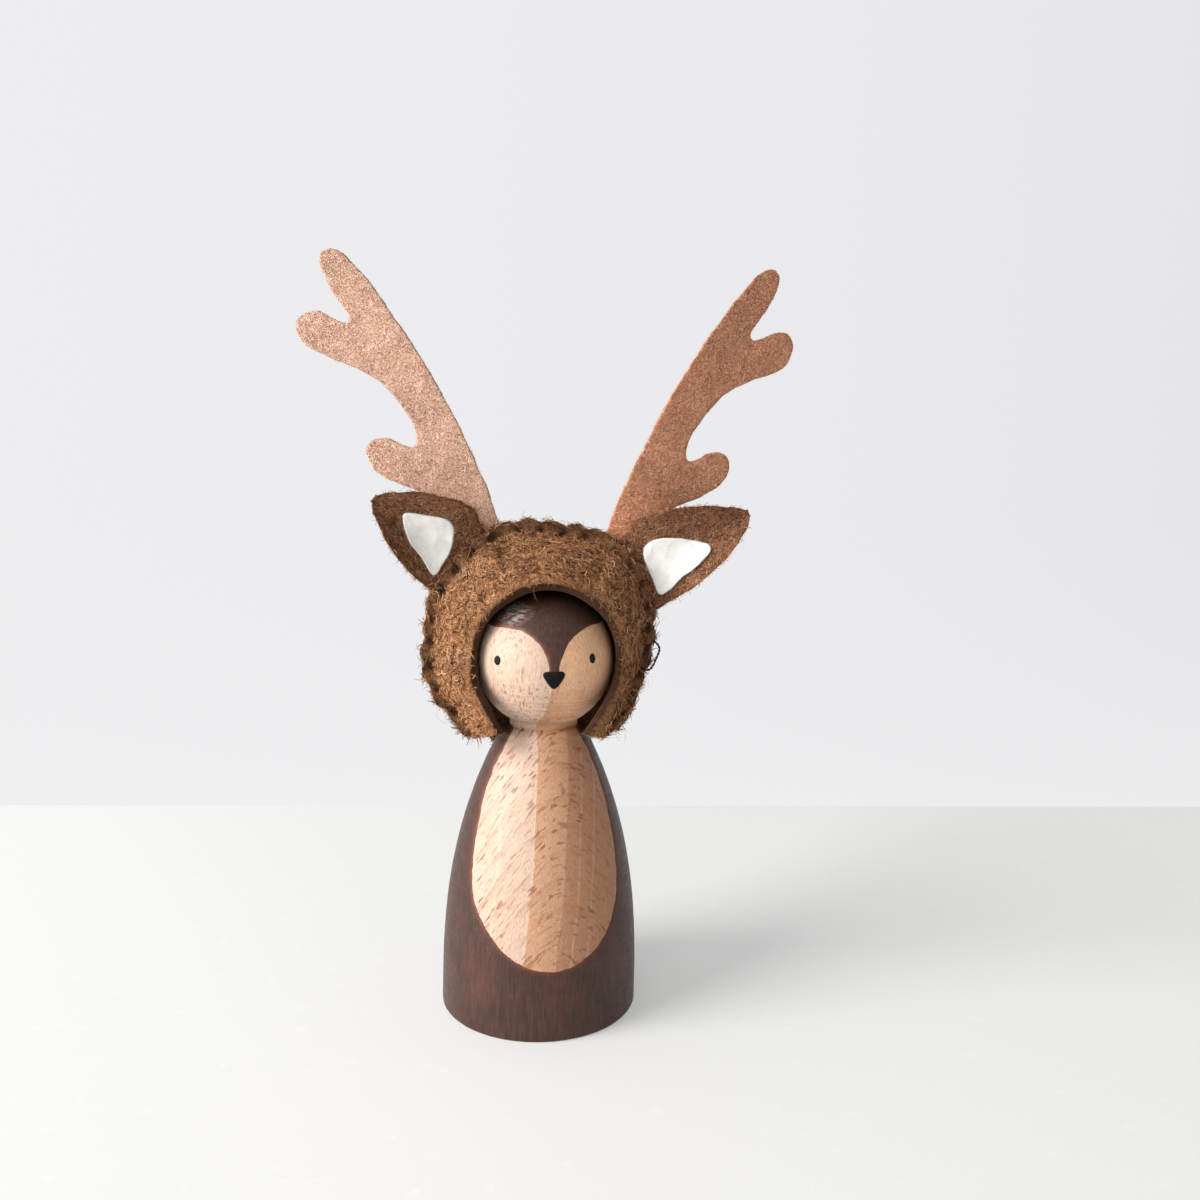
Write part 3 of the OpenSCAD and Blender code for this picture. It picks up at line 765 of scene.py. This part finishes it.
def seam(phi):
    phi = np.asarray(phi, float)
    a, s = np.abs(phi), np.where(phi < 0, -1, 1)
    k = sweep_k(a)
    low_x = lerp(HOOD_R, HOOD_R * by_side(s, LOBE_SHARE), k) + bulge(a, s)
    x = s * np.where(a <= 90, HOOD_R * sind(a), low_x)
    return coords(x, lerp(SEAM_Y, LOBE_Y, k), HOOD_Z + HOOD_R * cosd(a))


# Room at the seam for an ear or an antler.
def gap(phi, seats, halves, wide):
    near = [1 - soft((np.abs(phi - side * seats[side]) - halves[side]) / 5) for side in SIDE]
    return REST_GAP + (wide - REST_GAP) * np.maximum(*near)


def front_gap(phi):
    return gap(phi, EAR_SEAT, EAR_HALF, EAR_GAP)


def back_gap(phi):
    return gap(phi, ANTLER_SEAT, ANTLER_HALF, ANTLER_GAP)


# Edge of the face opening.
def mouth(phi, o):
    a, s = np.abs(phi), np.where(phi < 0, -1, 1)
    q = np.maximum(0, (a - 90) / (HOOD_END - 90))
    grow = o * FELT_T * MOUTH_GROW
    end_x = by_side(s, OPEN_END_X)
    end_y = -np.sqrt((ARC_R + LOBE_CLEAR) ** 2 - end_x**2)
    top_y = lerp(-OPEN_FRONT - 1, -OPEN_FRONT, sind(a) ** 2)
    x = s * np.where(a <= 90, (OPEN_R + grow) * sind(a), lerp(OPEN_R, end_x, q * q) + grow)
    y = np.where(a <= 90, top_y, lerp(-OPEN_FRONT, end_y, q**1.4)) - grow
    z = np.where(a <= 90, OPEN_Z + (OPEN_R + grow) * cosd(a), lerp(OPEN_Z, LOBE_Z, q))
    return coords(x, y, z)


# On the front panel, with s from 0 on the seam to 1 on the opening.
def front_pt(phi, s, o):
    (ex, ey, ez), (mx, my, mz) = apart(seam(phi)), apart(mouth(phi, o))
    y0 = ey - front_gap(phi) - o * FELT_EDGE
    band = np.hypot(mx - ex, mz - ez)
    most = lerp(0.6, 0.2, soft((np.abs(phi) - 110) / 30))
    f = np.minimum(most, (MARGIN_W + (1 - o) * INSIDE_MARGIN) / band)
    q = np.maximum(0, (s - f) / (1 - f))
    y = lerp(y0, my, q**0.9) - FRONT_BULGE * sind(180 * q)
    sag = LOBE_SAG * sind(180 * s) * soft((np.abs(phi) - HOOD_END + 15) / 15)
    return coords(lerp(ex, mx, s), y, lerp(ez, mz, s) - sag)


def dome(x, o, space):
    inner = HOOD_R - MARGIN_W - (1 - o) * INSIDE_MARGIN
    deep = ARC_R - SEAM_Y - REST_GAP + o * (FELT_T - FELT_EDGE)
    return SEAM_Y + space + o * FELT_EDGE + deep * np.maximum(0, 1 - (x / inner) ** 3)


# On the back panel, with a from the top down and t from -1 on the left to 1 on the right.
def back_pt(a, t, o):
    c, s = 1 - np.abs(t), np.where(t < 0, -1, 1)
    z = HOOD_Z + HOOD_R * cosd(a) - NAPE_DROP * soft((c - 0.45) / 0.25) * soft((a - 115) / 28)
    k = sweep_k(a)
    x = HOOD_R * np.where(a <= 90, sind(a), 1) * cosd(90 * c)
    reach = np.where(a <= 90, np.hypot(x, z - HOOD_Z), x)
    phi = np.where(a > 90, s * 90, s * np.degrees(np.arctan2(x, z - HOOD_Z)))
    wide = np.where(a > 90, REST_GAP, back_gap(phi))
    space = lerp(REST_GAP, wide, soft((reach / HOOD_R - 0.6) / 0.3))
    turn = lerp(NAPE_OUT if o > 0 else NAPE_IN, 90, c)
    r = ARC_R + o * FELT_T
    foot = soft(c / 0.2)
    low_x = lerp(HOOD_R * by_side(s, LOBE_SHARE), r * cosd(turn), foot)
    low_y = lerp(LOBE_Y + REST_GAP + o * FELT_EDGE, r * sind(turn), foot)
    x = s * (lerp(x, low_x, k) + bulge(a, s) * (1 - foot))
    return coords(x, lerp(dome(reach, o, space), low_y, k), z)


# Felt swells between stitches, is drawn in at each, sinks under the thread and puffs beside it.
SWELL, DRAW, SINK, PUFF = 0.2, 0.38, 0.55, 0.3
# The sewn hood is flatter on top, stands to the left and opens wider at the cheeks.
TOP_LOWER, SIDE_LEFT = 1.2, 0.7
MOUTH_UP, CHEEK_OUT, CHEEK_BACK = 0.7, 0.7, {-1: 1.5, 1: 0.9}


def to_stitch(phi):
    every = np.array(sum(WHIPS.values(), []) + TACKS[-1] + TACKS[1], float)
    return np.abs(np.asarray(phi)[..., None] - every).min(-1) * math.radians(HOOD_R)


def outward(p):
    n = unit(np.cross(np.gradient(p, axis=0), np.gradient(p, axis=1)))
    return n if (n * (p - HOOD_MIDDLE)).sum(-1).mean() > 0 else -n


def sew(outer, inner, phi, from_edge):
    n, d = outward(outer), to_stitch(phi)
    pull = SWELL * (1 - bell(d, 1.7)) - DRAW * bell(d, 0.8) + 0.14 * lumps(outer, 3.0, 15)
    radial = coords(sind(phi), 0, cosd(phi))
    move = radial * (pull * bell(from_edge, 1.3))[..., None]
    height = PUFF * bell(from_edge - 3.2, 1.6) - SINK * bell(d, 0.75) * bell(from_edge - 1.6, 0.9)
    rough = 0.26 * lumps(outer, 6.0, 11) + 0.14 * lumps(outer, 2.3, 12) + 0.07 * lumps(outer, 0.9, 13)
    outer = outer + move + n * (height + rough)[..., None]
    # painted shade: a dark spot in the dimple at each stitch and a dark band along the pressed margin at the
    # seam
    spot = bell(d, 0.8) * bell(from_edge - 1.5, 0.9)
    edge = (0.55 + 0.2 * lumps(outer, 1.6, 14)) * (1 - soft((from_edge - 1.2) / 1.6))
    return outer, inner + move, np.clip(spot * 0.7 + edge, 0, 0.92)


def settle(p):
    x, _, z = apart(p - HOOD_MIDDLE)
    phi = np.degrees(np.arctan2(x, z))
    far = soft((np.hypot(x, z) - 14) / 6)
    a = np.abs(phi)
    beside = soft((a - 50) / 30) * (1 - soft((a - 115) / 20))
    q = p.copy()
    q[..., 2] -= TOP_LOWER * bell(phi - 6, 17) * far
    q[..., 0] -= SIDE_LEFT * beside * far
    return q


def panel(name, outer, inner, roundness, tints, nodes):
    ob = solid_piece(name, settle(felt_solid(outer, inner, roundness)), BROWN, tints)
    belongs(ob, "hood", "brown_felt", nodes)
    return ob


def front_panel():
    phi = np.linspace(-HOOD_END, HOOD_END, 360)[:, None]
    s = np.linspace(0, 1, 52)[None]
    outer, inner = front_pt(phi, s, 1.0), front_pt(phi, s, 0.0)
    from_edge = length(outer - outer[:, :1])
    from_mouth = length(outer - outer[:, -1:])
    outer, inner, tint = sew(outer, inner, phi, from_edge)
    a, near = np.abs(phi), bell(from_mouth, 3.5)
    cheek = near * soft((a - 25) / 40) * (1 - soft((a - 105) / 25))
    up = MOUTH_UP * near * np.maximum(cosd(phi), 0)
    lift = coords(CHEEK_OUT * np.sign(phi) * cheek, by_side(phi, CHEEK_BACK) * cheek, up)
    wave = 0.25 * lumps(outer, 5.0, 21) * np.exp(-from_mouth / 2.0)
    outer = outer + lift + coords(sind(phi) * wave, 0, cosd(phi) * wave)
    # painted shade on the lip of the face opening; spread adds painted shade on the cut edges and the inside
    tint = np.maximum(tint, 0.5 * bell(from_mouth, 0.6))
    return panel("front_panel", outer, inner + lift, 0.25, spread(tint, 0.97, 0.6, 0.9), "hood_front")


def back_panel():
    a = np.concatenate([np.linspace(HOOD_END, 91, 90), np.linspace(90, 4, 150)])[:, None]
    t = np.linspace(-1, 1, 181)[None]
    outer, inner = back_pt(a, t, 1.0), back_pt(a, t, 0.0)
    x, _, z = apart(outer - HOOD_MIDDLE)
    phi = np.where(a > 90, np.where(t < 0, -a, a), np.degrees(np.arctan2(x, z)))
    beside = length(outer - np.where((t < 0)[..., None], outer[:, :1], outer[:, -1:]))
    from_edge = np.maximum(np.where(a > 90, beside, HOOD_R - np.hypot(x, z)), 0)
    outer, inner, tint = sew(outer, inner, phi, from_edge)
    # painted shade on the cut edges and the inside
    return panel("back_panel", outer, inner, 0.5, spread(tint, 0.6, 0.6, 0.5), "hood_back")


# Ears and antlers, with axes out from the seam, to the back and along the seam to the top.
def on_seam(p, seat, side, y):
    out = np.array([side * sind(seat), 0, cosd(seat)])
    along = np.array([-side * cosd(seat), 0, sind(seat)])
    root = np.array([0, y, HOOD_Z]) + (HOOD_R - ROOT_IN) * out
    return root + p[..., :1] * out + p[..., 1:2] * (0, 1, 0) + p[..., 2:] * along


def bend_at(ob):
    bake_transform(ob)


def bend_ear(ob):
    bend_at(ob)


def bend_antler(ob):
    bend_at(ob)


# An ear has u from 0 at the seam to 1 at the tip and v from -1 low to 1 high.
def blunt(u):
    share = np.clip((u - EAR_ROUND) / (1 - EAR_ROUND), 0, 1)
    return (1 - share**1.3) ** (1 / 1.3)


def ear_top(u):
    taper = (1 - np.minimum(u, EAR_ROUND) ** 2.2) ** 0.9
    return EAR_UP * taper * (0.76 + 0.24 * soft(u / 0.25)) * blunt(u)


def ear_low(u):
    return EAR_DOWN * (1 - np.minimum(u, EAR_ROUND) ** 2) ** 0.85 * blunt(u)


def ear_y(u, v, side):
    cup = EAR_CUP * soft((u - 0.06) / 0.4) * (0.1 + 0.9 * soft((1 - u) / 0.3))
    return -EAR_SWEEP[side] * u**1.5 - cup * v * v


def ear(side):
    u = EAR_END * (1 - (1 - np.linspace(0, 1, 90)[:, None]) ** 1.4)
    v = np.linspace(-1, 1, 70)[None]
    z = v * np.where(v > 0, ear_top(u), ear_low(u))
    mid = coords(EAR_LONG[side] * u, ear_y(u, v, side), z)
    rough = 0.16 * lumps(mid, 5.0, 31 + side) + 0.1 * lumps(mid, 1.8, 33 + side)
    rim = 0.2 * lumps(mid, 2.6, 35 + side) * np.abs(v) ** 6
    front = mid + coords(0, -EAR_T / 2 + rough * 0.6, rim)
    back = mid + coords(0, EAR_T / 2 + rough, rim)
    tint = 0.35 * bell(1 - np.abs(v), 0.1) + 0 * u
    tip = (EAR_LONG[side], -1.5 * EAR_SWEEP[side], 0)
    rows = on_seam(felt_solid(front, back, 0.8, tip), EAR_SEAT[side], side, EAR_Y)
    ob = solid_piece("ear_" + SIDE[side], rows, EAR_BROWN, spread(tint, 0.8, 0.8, 0.1))
    bend_ear(ob)
    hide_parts(SIDE[side] + "_ear")
    return ob


# Outline of each lining, out from the seam and along it.
LINING_LINE = {
    -1: [[13.4, 0.9], [10.2, 3.3], [7, 5.1], [4.7, 4.5], [2.8, 1.6], [2.1, -2], [2.2, -4.5], [5.5, -3.6],
         [10, -2.1]],
    1: [[14.7, -1.7], [13.6, 0.1], [10.8, 2.4], [7.5, 4.3], [4.2, 4.8], [2.5, 2.4], [2, -1.5], [2.1, -5.2],
        [7, -4.2], [12.8, -3]]}
# Shares of the way out and of the thickness, over the rim and back underneath.
LINING_RIM = [(0.95, 0.97), (0.97, 0.9), (0.985, 0.78), (0.995, 0.6), (1, 0.4), (1, 0.12), (0.97, 0),
              (0.6, 0), (0, 0)]


def lining(side):
    line = ragged(closed_curve(LINING_LINE[side], 12), 0.12, 1.5, (5.0 * side, 9.0 * side), (43, 44))
    core = line.mean(0)
    across = np.concatenate([[(share, 1.0) for share in np.linspace(0, 0.92, 24)], LINING_RIM])
    spot = core + across[:, :1, None] * (line - core)
    x, z = apart(spot)
    u = x / EAR_LONG[side]
    v = z / np.where(z > 0, ear_top(u), ear_low(u))
    flat = coords(x, z, 0)
    rough = 1 + 0.14 * lumps(flat, 2.6, 41) + 0.08 * lumps(flat, 1.0, 42)
    y = ear_y(u, v, side) - EAR_T / 2 - 0.03 - LINING_T * across[:, 1:] * rough
    rows = on_seam(coords(x, y, z), EAR_SEAT[side], side, EAR_Y)
    ob = solid_piece("lining_" + SIDE[side], rows, WHITE)
    belongs(ob, SIDE[side] + "_ear_flap", "white_felt", SIDE[side] + "_ear_lining")
    return ob


# Outline of an antler, along it from the seam and across it towards the outside.
ANTLER_LINE = [
    [-1.6, -3.2], [0.5, -3.4], [8, -4.6], [16, -5.4], [24, -5.7], [33, -5.7], [43, -5], [51, -4],
    [56.8, -2.7], [59.6, -0.8], [59.5, 1.4], [57, 2.4], [53.5, 2.6], [50, 2.2], [47.4, 2.2],
    [46.8, 3.4], [48.2, 4.8], [51, 6.9], [52, 9.4], [50.7, 11.6], [48, 12.2], [45.2, 11.2], [41.4, 8],
    [37.6, 5], [33.5, 3], [29, 2], [25, 1.8], [22.2, 2.3], [20.8, 3.6], [22.1, 5.3], [24.5, 7.2],
    [25.6, 9.2], [25, 11.3], [22.6, 12.4], [19.6, 11.9], [16.2, 9.8], [13, 7], [9.5, 5], [5, 4.1],
    [0.5, 3.8], [-1.6, 3.6]]
ANTLER_DRAWN, ANTLER_VOXEL, ANTLER_SMOOTH = 59.5, 0.3, 5


def remeshed(ob):
    m = ob.modifiers.new("remesh", "REMESH")
    m.mode = "VOXEL"
    m.voxel_size = ANTLER_VOXEL * MM
    m = ob.modifiers.new("smooth", "SMOOTH")
    m.factor = 0.5
    m.iterations = ANTLER_SMOOTH
    me = bpy.data.meshes.new_from_object(ob.evaluated_get(bpy.context.evaluated_depsgraph_get()))
    bpy.data.objects.remove(ob)
    faces = read(me.loops, "vertex_index", 1, np.int32).reshape(-1, 4)
    return read(me.vertices, "co", 3) / MM, read(me.vertices, "normal", 3), faces


# Felt cut straight through along a flat outline.
def flat_cut(flat, seat, side):
    n = len(flat)
    verts = np.concatenate([flat - (0, ANTLER_T / 2, 0), flat + (0, ANTLER_T / 2, 0)])
    walls = [(i, (i + 1) % n, n + (i + 1) % n, n + i) for i in range(n)]
    me = bpy.data.meshes.new("cut")
    me.from_pydata((on_seam(verts, seat, side, ANTLER_Y) * MM).tolist(), [],
                   [tuple(range(n)), tuple(range(2 * n - 1, n - 1, -1))] + walls)
    ob = added("cut", me)
    weld(ob)
    return ob


def antler(side):
    seat = ANTLER_SEAT[side]
    line = closed_curve(ANTLER_LINE, 6) * (ANTLER_LONG[side] / ANTLER_DRAWN, 1)
    line = ragged(line, 0.16, 2.2, (7.0 * side, 9.0 * side), (51, 52))
    turn = seat - ANTLER_LEAN[side]
    x, z = line[:, 0] + ROOT_IN, -line[:, 1]
    flat = coords(x * cosd(turn) - z * sind(turn), 0, x * sind(turn) + z * cosd(turn))
    verts, normals, faces = remeshed(flat_cut(flat, seat, side))
    rough = 0.1 * lumps(verts, 3.2, 53) + 0.07 * lumps(verts, 1.3, 54) + 0.03 * lumps(verts, 0.6, 55)
    verts = verts + normals * rough[:, None]
    # each antler turns its outer edge a little to the back
    axes = np.array([[0, 0, 0], [cosd(turn), 0, sind(turn)], [sind(turn), 0, -cosd(turn)]])
    root, ahead, beside = on_seam(axes, seat, side, ANTLER_Y)
    along, across = (verts - root) @ (ahead - root), (verts - root) @ (beside - root)
    twist = math.tan(math.radians(ANTLER_TURN[side])) * across * (0.75 + 0.5 * soft((along - 16) / 36))
    wave = 0.35 * lumps(verts * (1, 0, 1), 17.0, 56)
    verts[:, 1] += (twist + wave) * soft((along - ROOT_IN - 2) / 14)
    ob = piece("antler_" + SIDE[side], verts, faces, TAN[side])
    bend_antler(ob)
    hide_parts(SIDE[side] + "_antler")
    return ob


FRONT, BACK = front_panel(), back_panel()
EARS = {side: ear(side) for side in SIDE}
LININGS = {side: lining(side) for side in SIDE}
ANTLERS = {side: antler(side) for side in SIDE}

# Thread of two strands, with their radii as shares of the thread's.
STRAND_CORE, STRAND_R, TWIST, STRAND_SIDES = 0.5, 0.62, 1.5, 8


# Twists the strands round a path that across never runs along.
def strands(path, across):
    ahead = unit(np.gradient(path, axis=0))
    beside = unit(np.cross(ahead, across))
    over = np.cross(beside, ahead)
    run = np.concatenate([[0], np.cumsum(length(np.diff(path, axis=0)))])
    ring = np.linspace(0, 360, STRAND_SIDES, endpoint=False)[:, None]
    parts = []
    for first in (0, 180):
        turn = (360 * run / TWIST + first)[:, None]
        core = path + THREAD_R * STRAND_CORE * (cosd(turn) * beside + sind(turn) * over)
        round_core = cosd(ring) * beside[:, None] + sind(ring) * over[:, None]
        parts.append(core[:, None] + THREAD_R * STRAND_R * round_core)
    return parts


def thread_piece(name, paths, nodes):
    verts, faces, at = [], [], 0
    for path, across in paths:
        for tube in strands(path, across):
            n, m = tube.shape[:2]
            verts.append(settle(tube.reshape(-1, 3)))
            faces.append(grid_faces(n, m) + at)
            at += n * m
    ob = piece(name, np.concatenate(verts), np.concatenate(faces), THREAD)
    belongs(ob, "hood", "thread", nodes)


# A stitch through dots, set out from the seam, to the back and along the seam.
def stitch(phi, dots, slant, count):
    near = seam([phi - 0.5, phi + 0.5])
    along = unit(near[1] - near[0])
    out = unit(np.cross(along, (0, 1, 0)))
    out = out if out @ (sind(phi), 0, cosd(phi)) > 0 else -out
    places = [seam(phi) + out * o + along * a * slant + (0, y, 0) for o, y, a in dots]
    return open_curve(places, count), along


# A slanting stitch over the edge of both panels.
def whip(phi, rng):
    front = -FELT_EDGE - front_gap(phi) + 0.3
    back = FELT_EDGE + back_gap(phi) - 0.3
    dots = [(-2.5, front + 0.5, -1.2), (-2.0, front - 0.05, -1.0), (-1.2, front - 0.12, -0.6),
            (-0.5, front * 0.75, -0.3), (-0.22, 0.0, 0.0), (-0.5, back * 0.75, 0.3),
            (-1.2, back + 0.12, 0.6), (-2.0, back + 0.05, 1.0), (-2.5, back - 0.5, 1.2)]
    return stitch(phi, dots, 0.55 + 0.25 * rng.random(), 46)


# A short stitch on the front margin that dips behind its edge.
def tack(phi, rng):
    front = -FELT_EDGE - front_gap(phi) + 0.25
    dots = [(-2.7, front + 0.6, -1.0), (-2.2, front - 0.08, -0.8), (-1.4, front - 0.18, -0.4),
            (-0.5, front - 0.1, 0.0), (0.0, front + 0.3, 0.3), (0.1, front + 0.9, 0.5)]
    return stitch(phi, dots, 0.4 + 0.25 * rng.random(), 34)


def sewing():
    rng = np.random.default_rng(71)
    for name, turns in WHIPS.items():
        thread_piece("whip_" + name, [whip(t, rng) for t in turns], name + "_stitches")
    for side in SIDE:
        thread_piece("tacks_" + SIDE[side], [tack(t, rng) for t in TACKS[side]], SIDE[side] + "_ear_tacks")
    a, b = seam(94.0), seam(108.0)
    dots = [a + (-1.2, -0.8, 0.2), a + (0.2, -1.3, -0.2), a + (1.1, -1.5, -1.5),
            lerp(a, b, 0.6) + (1.2, -1.6, 0), b + (0.7, -1.5, 0.2), b + (-0.2, -1.3, -0.3),
            b + (-1.5, -0.8, 0.1)]
    thread_piece("loose_bight", [(open_curve(dots, 70), (0, 1.0, 0.1))], "slack_loop")


# Fibres of the felt.
GOLD = plain_fibre("gold", 208, 150, 104)
NUT = plain_fibre("nut", 140, 94, 65)
DARK = plain_fibre("dark", 70, 41, 29)
PALE = plain_fibre("pale", 240, 198, 154)
TAN_PALE = plain_fibre("tan_pale", 240, 206, 182)
TAN_DEEP = plain_fibre("tan_deep", 186, 128, 98)
MILK = plain_fibre("milk", 246, 245, 241)
HOOD_TONES = [(GOLD, 5), (NUT, 4), (DARK, 5), (PALE, 1.5)]
# Ranges of length, lift and radius, curl in radians a step, tones with odds, points in a fibre.
COARSE = ((1.2, 2.8), (0, 0.12), (0.038, 0.072), 0.55, HOOD_TONES, 5)
FINE = ((0.5, 1.3), (0, 0.14), (0.02, 0.034), 0.6, HOOD_TONES, 4)
STRAY = ((2, 5), (0.4, 1.8), (0.012, 0.02), 0.45, [(GOLD, 2), (NUT, 3), (DARK, 3)], 6)
EAR_NAP = ((0.6, 1.8), (0, 0.12), (0.026, 0.05), 0.6, [(GOLD, 4), (PALE, 1), (NUT, 3), (DARK, 5)], 4)
LINING_NAP = ((0.4, 1.1), (0, 0.08), (0.016, 0.026), 0.6, [(MILK, 1)], 4)
ANTLER_NAP = ((0.4, 1.1), (0, 0.07), (0.016, 0.028), 0.6, [(TAN_PALE, 3), (TAN_DEEP, 2)], 4)
# How deep fibres start, and how far they stay off the opening and the tips of the ears.
FIBRE_ROOT, MOUTH_BARE, TIP_BARE = 0.06, 2.3, 2.2


# Random points and their normals, with odds that keep gives by place and normal.
def scatter(ob, count, rng, keep=None):
    me = ob.data
    me.calc_loop_triangles()
    corners = read(me.loop_triangles, "vertices", 3, np.int32)
    a, b, c = (read(me.vertices, "co", 3) / MM)[corners].transpose(1, 0, 2)
    up = np.cross(b - a, c - a)
    share = length(up)
    if keep:
        share = share * keep((a + b + c) / 3, unit(up))
    pick = rng.choice(len(share), count, p=share / share.sum())
    r, s = np.sqrt(rng.random((count, 1))), rng.random((count, 1))
    return (1 - r) * a[pick] + r * (1 - s) * b[pick] + r * s * c[pick], unit(up)[pick]


def hairs(name, spots, rng, long, lift, radius, curl, tones, steps):
    points, up = spots
    n = len(points)
    ref = np.where(np.abs(up[:, 2:]) < 0.9, (0, 0, 1.0), (1.0, 0, 0))
    e1 = unit(np.cross(up, ref))
    e2 = np.cross(up, e1)
    angle = rng.uniform(0, 2 * math.pi, n)
    step = rng.uniform(*long, n) / (steps - 1)
    bend = rng.normal(0, curl, n)
    high = rng.uniform(*lift, n)
    path = np.empty((n, steps, 3))
    at = points - FIBRE_ROOT * up
    for k in range(steps):
        path[:, k] = at + up * (high * math.sin(math.pi * 0.78 * k / (steps - 1)))[:, None]
        at = at + (np.cos(angle)[:, None] * e1 + np.sin(angle)[:, None] * e2) * step[:, None]
        angle = angle + bend + rng.normal(0, 0.25, n)
    ahead = unit(np.gradient(path, axis=1))
    side = unit(np.cross(ahead, up[:, None]))
    over = np.cross(side, ahead)
    taper = np.array([1.0] * (steps - 1) + [0.4])[:, None]
    r = rng.uniform(*radius, n)[:, None, None] * taper
    ring = [path + r * (math.cos(t) * side + math.sin(t) * over) for t in (0.5, 2.6, 4.7)]
    verts = np.stack(ring, 2).reshape(-1, 3)
    faces = (grid_faces(steps, 3) + np.arange(n)[:, None, None] * steps * 3).reshape(-1, 4)
    ob = piece(name, verts, faces, [m for m, _ in tones])
    odds = np.array([w for _, w in tones])
    tone = rng.choice(len(tones), n, p=odds / odds.sum())
    ob.data.polygons.foreach_set("material_index", np.repeat(tone, (steps - 1) * 3).astype(np.int32))
    ob.data.update()
    return ob


def nap():
    rng = np.random.default_rng(72)
    edge = mouth(np.linspace(-HOOD_END, HOOD_END, 200), 1.0)
    tree = KDTree(len(edge))
    for i, p in enumerate(edge):
        tree.insert(p, i)
    tree.balance()

    def outside(c, n):
        return (n * unit(c - HOOD_MIDDLE)).sum(1) > 0.3

    def off_mouth(c, n):
        return outside(c, n) * np.array([tree.find(p)[2] > MOUTH_BARE for p in c])

    def grow(name, ob, count, look, keep=None):
        return hairs(name, scatter(ob, count, rng, keep), rng, *look)

    for name, ob, count, look, keep in (
            ("nap_front", FRONT, 8200, COARSE, off_mouth), ("nap_front_fine", FRONT, 10000, FINE, outside),
            ("nap_back", BACK, 8200, COARSE, outside), ("stray_front", FRONT, 260, STRAY, outside),
            ("stray_back", BACK, 260, STRAY, outside)):
        belongs(grow(name, ob, count, look, keep), "hood", "brown_felt")
    for side in SIDE:
        tip = on_seam(np.array([EAR_LONG[side], -EAR_SWEEP[side], 0]), EAR_SEAT[side], side, EAR_Y)

        def off_tip(c, n):
            return length(c - tip) > TIP_BARE

        hair = grow("nap_ear_" + SIDE[side], EARS[side], 4200, EAR_NAP, off_tip)
        bend_ear(hair)
        hair = grow("nap_lining_" + SIDE[side], LININGS[side], 900, LINING_NAP)
        belongs(hair, SIDE[side] + "_ear_flap", "white_felt")
        hair = grow("nap_antler_" + SIDE[side], ANTLERS[side], 5000, ANTLER_NAP)
        bend_antler(hair)


sewing()
nap()
